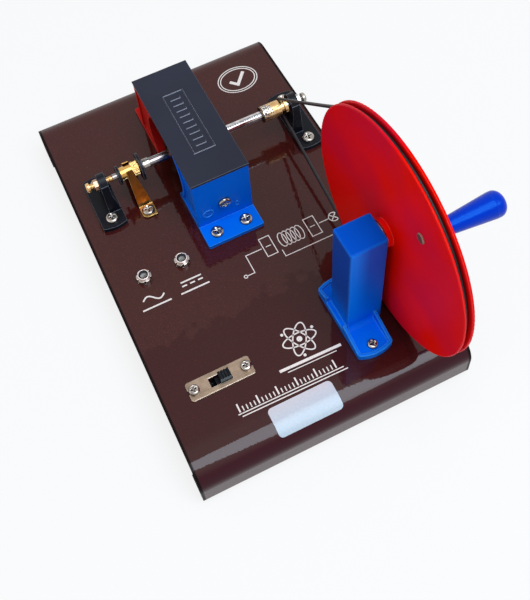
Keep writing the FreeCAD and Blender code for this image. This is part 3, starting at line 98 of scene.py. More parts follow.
class Nodes:
    """Short calls for the nodes of one tree."""

    def __init__(self, tree):
        self.tree = tree

    def add(self, kind, **settings):
        node = self.tree.nodes.new(kind)
        for key, value in settings.items():
            setattr(node, key, value)
        return node

    def put(self, value, socket):
        """Links an output to a socket, or sets the socket to a number, colour or vector."""
        if isinstance(value, bpy.types.NodeSocket):
            self.tree.links.new(value, socket)
        else:
            socket.default_value = value

    def math(self, operation, first, second, kind="ShaderNodeMath"):
        """A number from two numbers."""
        node = self.add(kind, operation=operation)
        self.put(first, node.inputs[0])
        self.put(second, node.inputs[1])
        return node.outputs["Value"]

    def vectors(self, operation, first, second):
        """A number from two vectors."""
        return self.math(operation, first, second, "ShaderNodeVectorMath")

    def spread(self, value, start, end, low=0.0, high=1.0):
        """A value that goes from start to end, brought to low to high."""
        node = self.add("ShaderNodeMapRange", clamp=True)
        limits = {"From Min": start, "From Max": end, "To Min": low, "To Max": high}
        for key, number in limits.items():
            node.inputs[key].default_value = number
        self.put(value, node.inputs["Value"])
        return node.outputs["Result"]

    def scaled(self, mask, low, high):
        """A mask of 0 to 1, brought to low to high."""
        return self.spread(mask, 0.0, 1.0, low, high)

    def background_rays(self):
        """1 for the rays that show the background: camera, glossy and transmission rays."""
        rays = self.add("ShaderNodeLightPath").outputs
        seen = self.math("MAXIMUM", rays["Is Camera Ray"], rays["Is Glossy Ray"])
        return self.math("MAXIMUM", seen, rays["Is Transmission Ray"])


class Look(Nodes):
    """A procedural material; the keywords are inputs of its Principled shader."""

    def __init__(self, name, **values):
        self.material = bpy.data.materials.new(name)
        self.material.use_nodes = True
        super().__init__(self.material.node_tree)
        self.shader = self.tree.nodes["Principled BSDF"]
        self.place = self.add("ShaderNodeTexCoord").outputs["Object"]
        for key, value in values.items():
            socket = key.replace("_", " ").title().replace("Ior", "IOR")
            self.shader.inputs[socket].default_value = value

    def feed(self, socket, output):
        self.put(output, self.shader.inputs[socket])

    def noise(self, scale, detail=2.0, place=None):
        node = self.add("ShaderNodeTexNoise")
        node.inputs["Scale"].default_value = scale
        node.inputs["Detail"].default_value = detail
        self.put(place or self.place, node.inputs["Vector"])
        return node.outputs["Fac"]

    def patches(self, scale, detail, start, end, high=1.0):
        """Patches of a noise: 0 where it is below start, high where it is above end."""
        return self.spread(self.noise(scale, detail), start, end, 0.0, high)

    def dull_spots(self, high=1.0):
        """Patches in which a metal is duller."""
        return self.patches(220, 3, 0.35, 0.75, high)

    def scratches(self, closeness, detail=4):
        """Fine marks; closeness says how closely they lie along each axis."""
        mapping = self.add("ShaderNodeMapping")
        mapping.inputs["Scale"].default_value = closeness
        self.put(self.place, mapping.inputs["Vector"])
        return self.noise(1.0, detail, mapping.outputs["Vector"])

    def cells(self, scale):
        """A random value for each small cell."""
        node = self.add("ShaderNodeTexVoronoi")
        node.inputs["Scale"].default_value = scale
        self.put(self.place, node.inputs["Vector"])
        split = self.add("ShaderNodeSeparateColor")
        self.put(node.outputs["Color"], split.inputs["Color"])
        return split.outputs["Red"]

    def waves(self, scale, direction, distortion=0.0):
        """Even bands across a direction."""
        node = self.add("ShaderNodeTexWave", bands_direction=direction)
        node.inputs["Scale"].default_value = scale
        node.inputs["Distortion"].default_value = distortion
        self.put(self.place, node.inputs["Vector"])
        return node.outputs["Fac"]

    def along(self, axis):
        """The place along one axis, in metres."""
        split = self.add("ShaderNodeSeparateXYZ")
        self.put(self.place, split.inputs["Vector"])
        return split.outputs[axis]

    def bands(self, axis, start, end, low=0.0, high=1.0):
        """low before start and high after end along an axis."""
        return self.spread(self.along(axis), start, end, low, high)

    def blend(self, factor, first, second):
        """A colour that goes from first to second as factor goes from 0 to 1."""
        # of the node's many sockets, inputs 6 and 7 and output 2 are the ones for colours
        node = self.add("ShaderNodeMix", data_type="RGBA")
        self.put(factor, node.inputs["Factor"])
        self.put(first, node.inputs[6])
        self.put(second, node.inputs[7])
        return node.outputs[2]

    def round_edges(self, radius=0.2 * MM):
        """Normal that is rounded over sharp edges."""
        node = self.add("ShaderNodeBevel", samples=6)
        node.inputs["Radius"].default_value = radius
        return node.outputs["Normal"]

    def facing(self, rounded, way, start, end):
        """1 where the surface faces a way: where the cosine between the two is over end."""
        return self.spread(self.vectors("DOT_PRODUCT", rounded, way), start, end)

    def edge_mask(self, rounded):
        """1 along edges, 0 on open faces."""
        flat = self.add("ShaderNodeNewGeometry").outputs["Normal"]
        return self.facing(rounded, flat, 0.995, 0.90)

    def nooks(self, reach):
        """1 in corners and recesses, 0 on open faces; used for painted shade."""
        node = self.add("ShaderNodeAmbientOcclusion", samples=8, only_local=True)
        node.inputs["Distance"].default_value = reach
        return self.spread(node.outputs["AO"], 0.85, 0.45)

    def bump(self, height, depth, normal=None, socket="Normal"):
        """Relief of that depth in metres."""
        node = self.add("ShaderNodeBump")
        node.inputs["Strength"].default_value = 1.0
        node.inputs["Distance"].default_value = depth
        self.put(height, node.inputs["Height"])
        if normal:
            self.put(normal, node.inputs["Normal"])
        self.feed(socket, node.outputs["Normal"])

    def marked(self, marks, low, high, rounded):
        """Fine marks, as a roughness from low to high and as relief."""
        self.feed("Roughness", self.spread(marks, *NOISE, low, high))
        self.bump(marks, FINE, rounded)


def base_paint():
    """Glossy brown hammer enamel with fine copper flakes under its clear top."""
    look = Look("base_paint", roughness=0.42, coat_roughness=0.02, coat_ior=1.44,
                specular_ior_level=0.05)
    mottle = look.noise(1300, 3)
    rounded = look.round_edges(0.6 * MM)

    # masks: the bend, the leg below it, the paint in front, the sides; the bend, the front and the
    # sides get painted shade
    bend = look.bands("Z", base_top - MM, base_top - 3 * MM)
    leg = look.bands("Z", base_top - 8 * MM, base_top - 12 * MM)
    glare_from, glare_to = bend_y + 9 * MM, bend_y + 4 * MM
    # in front of dull_y the paint is darkened as painted shade, and its clear top is thinner
    dull_y, ragged = base_mid.y - 48 * MM, 7 * MM
    frayed = look.spread(look.noise(160, 5), *NOISE, -ragged, ragged)
    dulled = look.spread(look.math("ADD", look.along("Y"), frayed), dull_y + MM, dull_y - MM)
    # painted shade: dark lines along both sides of the base
    side_shade_from, side_shade_to = 1.7 * MM, 1.1 * MM
    side_shade = look.math("MAXIMUM",
                    look.bands("X", base_low.x + side_shade_from, base_low.x + side_shade_to),
                    look.bands("X", base_high.x - side_shade_from, base_high.x - side_shade_to))

    ground = look.blend(look.spread(mottle, *NOISE), tone(48, 9, 8), tone(76, 20, 18))
    ground = look.blend(look.patches(32, 2, 0.4, 0.65, 0.6), ground, tone(62, 22, 12))
    flakes = look.spread(look.cells(2300), 0.93, 0.97, 0.0, 0.5)
    ground = look.blend(flakes, ground, tone(98, 42, 34))
    # painted shade: darker paint towards the front
    ground = look.blend(look.scaled(dulled, 0.0, 0.5), ground, tone(52, 8, 12))
    # painted shade: darker, bluer paint over the bend
    ground = look.blend(bend, ground, tone(56, 8, 22))
    look.feed("Base Color", look.blend(side_shade, ground, tone(16, 4, 4)))

    # the clear top: weak over the bend and the sides, weaker in front, strong just before the bend
    coat = look.math("ADD", look.scaled(bend, 0.66, 0.22), look.scaled(leg, 0.0, 0.4))
    coat = look.math("SUBTRACT", coat, look.scaled(dulled, 0.0, 0.12))
    coat = look.math("ADD", coat, look.bands("Y", glare_from, glare_to, 0.0, 0.22))
    look.feed("Coat Weight", look.math("MULTIPLY", coat, look.scaled(side_shade, 1.0, 0.15)))
    look.bump(mottle, 0.02 * MM, rounded)
    look.bump(look.noise(420, 2), 0.03 * MM, rounded, "Coat Normal")
    return look.material


def plastic(name, colour, second, edge_highlight, rough=0.35, patch=25, radius=0.4 * MM, shine=0.1,
            gloss=WHITE, foot=None, foot_top=0.0, relief_z=None, lit_flank=tone(176, 180, 196),
            spots=(0.35, 0.65), sides=()):
    """Moulded plastic: two close shades in large patches, fine grain, painted highlights on edges.

    spots are the values of the noise between which the first shade turns into the second. foot
    is the shade at the base, which fades out at foot_top; on the tower it is painted light. sides
    paints light and shade on the faces towards a way, fading in between two places along an
    axis. relief_z is where a relief begins, whose flanks get a painted highlight on the side
    towards the front and painted shade on the side towards the rear.
    """
    look = Look(name, specular_ior_level=shine, specular_tint=gloss)
    rounded = look.round_edges(radius)
    shade = look.blend(look.patches(patch, 1, *spots), colour, second)
    # a shade for the lowest part; on the tower this is painted light
    if foot:
        shade = look.blend(look.bands("Z", foot_top, base_top + 2 * MM), shade, foot)
    # painted light and shade on the faces towards each way
    for way, painted_tone, axis, start, end in sides:
        mask = look.math("MULTIPLY", look.facing(rounded, way, 0.6, 0.95),
                         look.bands(axis, start, end))
        shade = look.blend(mask, shade, painted_tone)
    # painted highlight: a paler shade along the edges
    shade = look.blend(look.edge_mask(rounded), shade, edge_highlight)
    if relief_z:
        above = look.bands("Z", relief_z - 0.05 * MM, relief_z + 0.05 * MM)
        # painted highlight on the flanks towards the front, painted shade on those towards the rear
        for way, flank in ((TO_FRONT, lit_flank), (TO_REAR, tone(12, 12, 18))):
            mask = look.math("MULTIPLY", look.facing(rounded, way, 0.1, 0.3), above)
            shade = look.blend(mask, shade, flank)
    look.feed("Base Color", shade)
    look.marked(look.noise(2600, 2), rough - 0.05, rough + 0.07, rounded)
    return look.material


def metal(name, colour, dull, rough=0.2, scratch=(300, 300, 300), radius=0.2 * MM, edge_highlight=None,
          recess_shade=None):
    """Metal with fine marks, duller patches, a painted highlight along its edges and painted
    shade in its nooks.
    """
    look = Look(name, metallic=1.0)
    rounded = look.round_edges(radius)
    shade = look.blend(look.dull_spots(), colour, dull)
    if edge_highlight:
        # painted highlight: a brighter shade along the edges
        shade = look.blend(look.edge_mask(rounded), shade, edge_highlight)
    if recess_shade:
        # painted shade in corners and recesses
        shade = look.blend(look.nooks(1.6 * MM), shade, recess_shade)
    look.feed("Base Color", shade)
    look.marked(look.scratches(scratch), rough * 0.7, rough * 1.4, rounded)
    return look.material


def pulley_brass():
    """Turned brass, tarnished at its left end, with a smear of solder round its grub screw."""
    look = Look("pulley_brass", metallic=1.0)
    left_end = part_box("pulley")[0].x
    screw_low, screw_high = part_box("pulley_screw")
    rounded = look.round_edges()
    shade = look.blend(look.dull_spots(), tone(222, 184, 132), tone(182, 138, 88))
    solder = ((screw_low.x + screw_high.x) / 2 - MM, screw_low.y, screw_high.z)
    ragged = look.spread(look.noise(700, 3), 0.35, 0.65, 1.8 * MM, 6.0 * MM)
    smear = look.math("LESS_THAN", look.vectors("DISTANCE", look.place, solder), ragged)
    flecks = look.blend(look.patches(1500, 2, 0.45, 0.55), tone(60, 54, 50), tone(226, 218, 210))
    shade = look.blend(smear, shade, flecks)
    tarnish = look.bands("X", left_end + 0.9 * MM, left_end + 0.5 * MM)
    shade = look.blend(tarnish, shade, tone(66, 48, 34))
    # painted highlight: a pale gold shade along the edges
    look.feed("Base Color", look.blend(look.edge_mask(rounded), shade, tone(250, 220, 150)))
    look.marked(look.scratches((2400, 80, 80)), 0.17, 0.34, rounded)
    return look.material


def shaft_steel():
    """Drawn steel rod with a dark hatched line along it, right of the generator.

    The line lies where the rod reaches furthest outward, up and a little to the front.
    """
    look = Look("shaft_steel", metallic=1.0)
    rounded = look.round_edges()
    side = look.bands("X", cover_low.x, cover_high.x)
    shade = look.blend(side, tone(150, 142, 140), tone(222, 218, 218))
    shade = look.blend(look.dull_spots(0.7), shade, tone(96, 90, 88))
    outward = Vector((0.0, -0.31, 0.95))
    rise = look.vectors("DOT_PRODUCT", look.place, outward)
    crest = outward.dot(Vector((0.0, shaft_y, shaft_z))) + (shaft_high.z - shaft_low.z) / 2
    hatch = look.spread(look.waves(420.0, "DIAGONAL", distortion=3.0), 0.0, 0.3)
    line = look.spread(rise, crest - 0.08 * MM, crest - 0.05 * MM)
    line = look.math("MULTIPLY", line, hatch)
    line = look.math("MULTIPLY", line, look.bands("X", cover_high.x, cover_high.x + MM))
    look.feed("Base Color", look.blend(line, shade, tone(36, 30, 34)))
    look.marked(look.scratches((2600, 60, 60)), 0.11, 0.22, rounded)
    return look.material


def two_metals(name, left, right, split_x):
    """Metal whose colour changes at a place across the base, for a pair in one node."""
    look = Look(name, metallic=1.0, roughness=0.22)
    shade = look.blend(look.bands("X", split_x - MM, split_x + MM), left, right)
    dulled = look.patches(400, 3, 0.4, 0.8, 0.5)
    look.feed("Base Color", look.blend(dulled, shade, tone(120, 110, 100)))
    look.bump(look.noise(900, 2), FAINT, look.round_edges())
    return look.material


def leaf_brass():
    """Dark bronze strip, redder and brighter towards its fold, with painted golden edge highlights.
    """
    look = Look("leaf_brass", metallic=1.0, roughness=0.34)
    rounded = look.round_edges(0.35 * MM)
    height = look.bands("Z", base_top + 2 * MM, shaft_z)
    shade = look.blend(height, tone(216, 118, 36), tone(128, 82, 40))
    shade = look.blend(look.patches(260, 3, 0.45, 0.75, 0.6), shade, tone(86, 52, 20))
    foot = look.bands("Z", base_top + 3.6 * MM, base_top + 3.0 * MM)
    shade = look.blend(foot, shade, tone(168, 132, 78))
    # painted highlight: golden shade along the edges
    look.feed("Base Color", look.blend(look.edge_mask(rounded), shade, tone(246, 206, 128)))
    look.bump(look.scratches((1500, 90, 90), detail=3), FAINT, rounded)
    return look.material


def laminated_iron():
    """Edges of thin stampings, side by side along the shaft."""
    look = Look("core_iron", metallic=1.0, roughness=0.45)
    sheets = look.waves(320.0, "X")
    shade = look.blend(look.patches(160, 3, 0.4, 0.75), tone(150, 152, 158), tone(104, 96, 92))
    shade = look.blend(look.spread(sheets, 0.0, 0.35, 0.7, 0.0), shade, tone(50, 48, 50))
    look.feed("Base Color", shade)
    look.bump(sheets, 0.06 * MM)
    return look.material


def ink(name, colour, dulled):
    """Screen-printed ink with pinholes."""
    look = Look(name, roughness=0.45)
    look.feed("Base Color", look.blend(look.patches(2200, 3, 0.6, 0.7), colour, dulled))
    look.bump(look.noise(1800, 2), FAINT)
    return look.material


def paper():
    """Satin label, a little bluer towards its front edge."""
    look = Look("label_paper", roughness=0.4, coat_weight=0.3, coat_roughness=0.2)
    down = look.bands("Y", bend_y - 4 * MM, bend_y + 7 * MM)
    shade = look.blend(down, tone(190, 206, 220), tone(212, 204, 210))
    shade = look.blend(look.patches(900, 3, 0.4, 0.7, 0.3), shade, tone(226, 224, 228))
    look.feed("Base Color", shade)
    look.bump(look.noise(700, 3), 0.02 * MM)
    return look.material


def make_looks():
    """All materials, by short names."""
    cool = (0.3, 0.65, 1.0, 1.0)
    # painted light: a paler front face and a darker left face
    tower_painted_light = (
        ((0, -1, 0), tone(0, 124, 255), "X", tower_mid + 2 * MM, tower_mid - 5 * MM),
        ((-1, 0, 0), tone(0, 70, 172), "Z", base_top + 6 * MM, base_top + 30 * MM))
    return {
        "base_paint": base_paint(),
        "blue": plastic("blue_plastic", tone(0, 112, 240), tone(0, 104, 230), tone(70, 170, 255),
                        0.33, gloss=cool, foot=tone(0, 112, 240), foot_top=base_top + 12 * MM),
        # the tower's foot shade is painted light: paler towards the bottom
        "tower": plastic("tower_plastic", tone(0, 84, 206), tone(0, 80, 196), tone(60, 160, 252),
                         0.33, radius=1.3 * MM, gloss=cool, foot=tone(0, 116, 252),
                         foot_top=base_top + 55 * MM, sides=tower_painted_light),
        "red": plastic("red_plastic", tone(206, 26, 18), tone(190, 24, 20), tone(236, 96, 88)),
        "wheel": plastic("wheel_plastic", tone(250, 12, 0), tone(232, 12, 40), tone(255, 120, 116),
                         0.4, 22, radius=0.3 * MM, shine=0.04, gloss=(1.0, 0.3, 0.1, 1.0),
                         spots=(0.42, 0.64)),
        "handle": plastic("handle_plastic", tone(0, 52, 206), tone(0, 46, 190), tone(0, 62, 216),
                          0.2, shine=0.5, gloss=(0.05, 0.4, 1.0, 1.0)),
        "cover": plastic("black_plastic", tone(34, 36, 50), tone(39, 41, 56), tone(150, 152, 170),
                         0.42, radius=0.3 * MM, shine=0.2, relief_z=cover_high.z - cover_relief),
        "bracket": plastic("bracket_plastic", tone(15, 16, 23), tone(21, 22, 30),
                           tone(128, 130, 144), 0.3, radius=0.3 * MM, shine=0.15),
        "knob": plastic("knob_plastic", tone(14, 14, 17), tone(20, 20, 24), tone(60, 62, 70), 0.4,
                        radius=0.2 * MM, relief_z=base_top + MM, lit_flank=tone(104, 118, 124)),
        "liner": plastic("liner_plastic", tone(34, 34, 38), tone(28, 28, 32), tone(80, 80, 84),
                         0.4, foot=tone(250, 246, 240), foot_top=socket_top - 0.5 * MM),
        "ferrite": plastic("ferrite", tone(54, 54, 58), tone(40, 40, 44), tone(84, 84, 88),
                           0.6, 300),
        "fibre": plastic("fibre", tone(74, 44, 30), tone(58, 34, 24), tone(110, 72, 52),
                         0.55, 500),
        "belt": plastic("belt_rubber", tone(28, 22, 24), tone(36, 28, 31), tone(64, 60, 66),
                        0.42, 300, shine=0.3),
        "red_wire": plastic("red_wire", tone(176, 22, 18), tone(160, 18, 16), tone(200, 40, 36),
                            patch=200),
        "black_wire": plastic("black_wire", tone(22, 22, 25), tone(30, 30, 33), tone(50, 50, 54),
                              patch=200),
        "core": laminated_iron(),
        "copper": metal("copper_wire", tone(112, 50, 30), tone(78, 32, 22), 0.3),
        "nickel": metal("nickel", tone(184, 176, 168), tone(126, 118, 110), 0.16,
                        radius=0.3 * MM, edge_highlight=tone(252, 244, 238), recess_shade=tone(40, 30, 26)),
        "ring": metal("ring_nickel", tone(240, 226, 222), tone(214, 198, 194), 0.34,
                      edge_highlight=tone(252, 244, 240)),
        "plate": metal("plate_nickel", tone(152, 130, 112), tone(120, 102, 86), 0.34,
                       (60, 1800, 300), radius=0.5 * MM, edge_highlight=tone(250, 236, 220)),
        "zinc": metal("zinc", tone(190, 192, 198), tone(150, 150, 152), 0.32),
        "shaft": shaft_steel(),
        "bronze": metal("oiled_bronze", tone(96, 66, 44), tone(60, 42, 30), 0.4),
        "pin": metal("pin_steel", tone(150, 96, 82), tone(108, 58, 50), 0.5, radius=0.7 * MM,
                     edge_highlight=tone(240, 214, 204)),
        "tinned": metal("tinned_wire", tone(120, 116, 114), tone(84, 80, 78), 0.3),
        "brass": metal("brass", tone(222, 184, 132), tone(186, 142, 90), 0.24, (2400, 80, 80),
                       edge_highlight=tone(250, 220, 150)),
        "segments": metal("segment_brass", tone(216, 172, 100), tone(170, 120, 52), 0.2,
                          (2600, 80, 80), edge_highlight=tone(255, 232, 176)),
        "pulley": pulley_brass(),
        "leaf": leaf_brass(),
        "pivot_nut": two_metals("pivot_metals", tone(178, 136, 110), tone(196, 192, 186),
                                base_mid.x),
        "print": ink("white_print", tone(250, 238, 230), tone(160, 142, 140)),
        "paper": paper(),
    }


# the CAD nodes that wear each look
WORN_BY = {
    "base_paint": ("base_panel",),
    "blue": ("front_pole",),
    "tower": ("wheel_tower",),
    "red": ("rear_pole",),
    "wheel": ("wheel_left_disc", "wheel_right_disc"),
    "handle": ("crank_grip", "crank_cap"),
    "cover": ("top_cover",),
    "bracket": ("left_bearing_bracket", "right_bearing_bracket", "commutator_hub",
                "switch_housing"),
    "liner": ("ac_socket_liner", "dc_socket_liner"),
    "ring": ("ac_socket_barrel", "dc_socket_barrel"),
    "knob": ("switch_slider",),
    "ferrite": ("front_magnet", "rear_magnet"),
    "fibre": ("brush_insulators",),
    "belt": ("drive_belt",),
    "red_wire": ("red_leads",),
    "black_wire": ("black_leads",),
    "core": ("armature_core",),
    "copper": ("armature_winding",),
    "tinned": ("winding_leads",),
    "bronze": ("wheel_bush",),
    "pin": ("crank_pin",),
    "nickel": ("magnet_screws", "pole_screws", "bracket_screws", "brush_screws", "tower_screws",
               "switch_screws", "right_pivot_screw", "socket_nuts", "wheel_axle", "shaft_collar",
               "collar_screw", "pulley_screw"),
    "plate": ("switch_plate",),
    "zinc": ("pole_nuts", "bracket_nuts", "brush_nuts", "tower_nuts", "switch_nuts",
             "wheel_washers", "crank_nut"),
    "shaft": ("shaft",),
    "brass": ("left_pivot_screw", "socket_contacts", "switch_terminals"),
    "pulley": ("pulley",),
    "segments": ("commutator_segments",),
    "leaf": ("front_brush", "rear_brush"),
    "pivot_nut": ("pivot_nuts",),
}


def dress_nodes(looks):
    """Gives the CAD nodes their materials through their own slots."""
    for key, names in WORN_BY.items():
        for name in names:
            data = nodes[name].data
            if not data.materials:
                data.materials.append(looks[key])
            for slot in nodes[name].material_slots:
                slot.material = looks[key]


# ------------------------------------------------------------------ mesh helpers
def add_object(name, data):
    made = bpy.data.objects.new(name, data)
    bpy.context.scene.collection.objects.link(made)
    return made


def mesh_object(name, mesh, look, body):
    """Links a finished mesh as a piece that rides on a body."""
    made = add_object(name, mesh)
    mesh.materials.append(look)
    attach(made, body)
    return made


def finish_mesh(name, work, smooth=False):
    """Mesh of the faces made so far, all of them facing outward."""
    bmesh.ops.recalc_face_normals(work, faces=work.faces)
    mesh = bpy.data.meshes.new(name)
    work.to_mesh(mesh)
    work.free()
    for face in mesh.polygons:
        face.use_smooth = smooth
    return mesh


def tube(work, rows, closed=False):
    """Faces round a tube through rings of vertices, with flat ends unless it is closed."""
    size = len(rows[0])
    for first, second in zip(rows, rows[1:] + rows[:1] if closed else rows[1:]):
        for k in range(size):
            after = (k + 1) % size
            work.faces.new((first[k], first[after], second[after], second[k]))
    if not closed:
        work.faces.new(rows[0])
        work.faces.new(rows[-1])


def stroke_sides(points, width, closed):
    """Left and right edge points of a line with mitred corners."""
    sharpest = 0.5      # a sharper corner's mitre is cut off here
    count = len(points)
    sides = []
    for k, here in enumerate(points):
        before = points[k - 1] if k or closed else None
        after = points[(k + 1) % count] if k < count - 1 or closed else None
        way_in = (here - before).normalized() if before else (after - here).normalized()
        way_out = (after - here).normalized() if after else way_in
        way = (way_in + way_out).normalized()
        across = Vector((-way.y, way.x))
        half = width / 2 / max(across.dot(Vector((-way_in.y, way_in.x))), sharpest)
        sides.append((here + across * half, here - across * half))
    return sides


class Print:
    """Thin raised print on the base, drawn in millimetres from its middle."""

    thickness = 0.06 * MM

    def __init__(self, name):
        self.name = name
        self.work = bmesh.new()

    def strip(self, sides, closed=False):
        """Closed thin solid between two rows of points."""
        rows = []
        for left, right in sides:
            corners = ((left, 0), (left, self.thickness), (right, self.thickness), (right, 0))
            rows.append([self.work.verts.new(skin(p.x, p.y, rise)) for p, rise in corners])
        tube(self.work, rows, closed)

    def line(self, points, width, closed=False):
        points = [Vector(p) for p in points]
        self.strip(stroke_sides(points, width, closed), closed)

    def ring(self, centre, half_x, half_y, width, turn=0.0, steps=72):
        """Ellipse line; turn is in degrees."""
        lean = math.radians(turn)
        points = []
        for k in range(steps):
            angle = 2 * math.pi * k / steps
            x, y = half_x * math.cos(angle), half_y * math.sin(angle)
            points.append((centre[0] + x * math.cos(lean) - y * math.sin(lean),
                           centre[1] + x * math.sin(lean) + y * math.cos(lean)))
        self.line(points, width, closed=True)

    def disc(self, centre, radius, steps=24):
        """Filled dot, as a strip from one side to the other."""
        blunt = 0.01        # half the width of the strip's ends
        sides = []
        for k in range(steps + 1):
            angle = math.pi * k / steps
            x = centre[0] - (radius - blunt) * math.cos(angle)
            half = radius * math.sin(angle) + blunt
            sides.append((Vector((x, centre[1] + half)), Vector((x, centre[1] - half))))
        self.strip(sides)

    def done(self, look):
        mesh_object(self.name, finish_mesh(self.name, self.work), look, "base")


# ---------------------------------------------------------------- printed marks
def front_rules(look):
    """Double rule near the front edge, with a plain graduated scale on it."""
    left, right, shift = -43.4, 14.0, 1.5       # the front rule stands further right by shift
    scale_y, rear_y, front_y = -99.4, -100.3, -101.9
    drop = 0.9                                  # how far they run forward from left to right
    fine, bold = 0.55, 0.8
    count, group, scale_end = 26, 5, 5.0        # every fifth mark is a long one
    mark = Print("front_rules")
    mark.line([(left, rear_y), (right, rear_y - drop)], fine)
    mark.line([(left + shift, front_y), (right + shift, front_y - drop)], fine)
    for k in range(count):
        x = left + shift + (right - left - scale_end) * k / (count - 1)
        foot = scale_y - drop * (x - left) / (right - left)
        tall, width = (4.6, bold) if k % group == 0 else (2.6, fine)
        mark.line([(x, foot), (x, foot + tall)], width)
    mark.done(look)


def atom_mark(look):
    """Three crossed ellipses round a dot, over two short rules: a plain science mark."""
    x0, y0 = 1.5, -78.0
    orbit_r, orbit_flat, stroke = 9.2, 3.4, 0.7
    core_r, dot_r = 1.5, 0.8
    mark = Print("atom_mark")
    for turn in (0, 60, 120):
        mark.ring((x0, y0), orbit_r, orbit_flat, stroke, turn)
    mark.disc((x0, y0), core_r)
    for turn in (20, 140, 260):
        angle = math.radians(turn)
        mark.disc((x0 + orbit_r * math.cos(angle), y0 + orbit_r * math.sin(angle)), dot_r)
    mark.line([(-15.5, -89.4), (18.5, -90.2)], 1.5)
    mark.line([(-12.0, -91.6), (15.0, -92.2)], 0.45)
    mark.done(look)


def output_symbols(look):
    """A wave in front of the one socket, a bar over dashes in front of the other."""
    wave_x, direct_x, y0 = -55.6, -33.6, -21.4
    half, stroke = 6, 0.85
    wave_high, steps = 1.9, 32
    bar_y, dash_y, dash_half, dash_apart = y0 + 1.1, y0 - 1.3, 1.4, 4.6
    rule_y, rule_half, rule_stroke = y0 - 5.2, 8.2, 0.9
    wave = Print("wave_symbol")
    wave.line([(wave_x - half + 2 * half * k / steps,
                y0 + wave_high * math.sin(2 * math.pi * k / steps))
               for k in range(steps + 1)], stroke)
    direct = Print("direct_symbol")
    direct.line([(direct_x - half, bar_y), (direct_x + half, bar_y)], stroke)
    for k in (-1, 0, 1):
        dash_x = direct_x + k * dash_apart
        direct.line([(dash_x - dash_half, dash_y), (dash_x + dash_half, dash_y)], stroke)
    for mark, x0 in ((wave, wave_x), (direct, direct_x)):
        mark.line([(x0 - rule_half, rule_y), (x0 + rule_half, rule_y)], rule_stroke)
        mark.done(look)


def oval_mark(look):
    """Double oval with a plain tick."""
    x0, y0 = 48.6, 94.4
    mark = Print("oval_mark")
    mark.ring((x0, y0), 12.4, 9.9, 0.6)
    mark.ring((x0, y0), 10.9, 8.4, 0.6)
    mark.line([(x0 - 5.2, y0 + 0.2), (x0 - 1.4, y0 - 3.8), (x0 + 5.6, y0 + 4.4)], 2.0)
    mark.done(look)


def circuit_mark(look):
    """Plain diagram: a coil between two magnets, a terminal and a lamp."""
    mark = Print("circuit_mark")
    thin = 0.5
    mid, feed_y, return_y = -21.5, -33.0, -31.6
    magnet_w, magnet_half = 6.0, 6.0
    low, high = mid - magnet_half, mid + magnet_half
    for x in (9.0, 36.0):
        mark.line([(x, low), (x + magnet_w, low), (x + magnet_w, high), (x, high)], thin,
                  closed=True)
        mark.line([(x + 1.5, mid), (x + magnet_w - 1.5, mid)], thin)
    coil_x, coil_apart, turns = 20.6, 2.6, 5
    for k in range(turns):
        mark.ring((coil_x + coil_apart * k, mid), 2.1, 4.6, thin, steps=36)
    mark.line([(-6.0, feed_y), (-1.6, feed_y), (-1.6, mid), (8.0, mid)], thin)
    mark.line([(43.0, mid), (49.2, mid)], thin)
    mark.line([(54.8, mid), (58.6, mid), (58.6, return_y), (17.6, return_y), (17.6, -27.2)], thin)
    lamp_x, lamp_r, cross = 52.0, 2.8, 1.8
    mark.ring((lamp_x, mid), lamp_r, lamp_r, thin, steps=40)
    for rise in (cross, -cross):
        mark.line([(lamp_x - cross, mid - rise), (lamp_x + cross, mid + rise)], thin)
    terminal_x, terminal_r = -6.9, 0.9
    mark.ring((terminal_x, feed_y), terminal_r, terminal_r, thin, steps=20)
    mark.done(look)


def front_label(look):
    """Blank sticker with rounded corners, half over the front bend."""
    half_x, half_s, round_r = 17.4, 7.8, 2.4
    middle_x, middle_s = -12.8, -112.0
    steps = 30
    label = Print("front_label")
    label.thickness = 0.12 * MM
    sides = []
    for k in range(steps + 1):
        # rows crowd towards both ends, where the corners are
        s = -half_s * math.cos(math.pi * k / steps)
        over = max(abs(s) - (half_s - round_r), 0)
        half = half_x
        if over:
            half += math.sqrt(max(round_r ** 2 - over ** 2, 0)) - round_r
        sides.append((Vector((middle_x - half, middle_s + s)),
                      Vector((middle_x + half, middle_s + s))))
    label.strip(sides)
    label.done(look)


# ------------------------------------------------------------- turned and wound
def thread(name, x0, x1, look):
    """Helical ridge round the shaft's axis from x0 to x1, on a pivot screw."""
    radius, pitch = 1.6 * MM, 0.5 * MM
    root, crest = radius - 0.05 * MM, radius + 0.2 * MM
    around = 24
    work = bmesh.new()
    rows = []
    for k in range(int((x1 - x0) / pitch * around) + 1):
        angle = 2 * math.pi * k / around
        x = x0 + pitch * k / around
        rows.append([work.verts.new((x + shift * pitch, shaft_y + r * math.cos(angle),
                                     shaft_z + r * math.sin(angle)))
                     for shift, r in ((-0.45, root), (0, crest), (0.45, root))])
    tube(work, rows)
    mesh_object(name, finish_mesh(name, work), look, "base")


def pivot_threads(looks):
    """Threads that show on the pivot screws beside their lock nuts."""
    nut_low, nut_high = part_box("pivot_nuts")
    head, gap, post_round = 2.0 * MM, 0.3 * MM, 2.6 * MM
    post_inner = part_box("left_bearing_bracket")[1].x - post_round
    left_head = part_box("left_pivot_screw")[0].x + head
    right_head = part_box("right_pivot_screw")[1].x - head
    thread("left_inner_thread", post_inner + gap, shaft_low.x - gap, looks["brass"])
    thread("left_outer_thread", left_head + gap, nut_low.x - gap, looks["brass"])
    thread("right_outer_thread", nut_high.x + gap, right_head - gap, looks["nickel"])


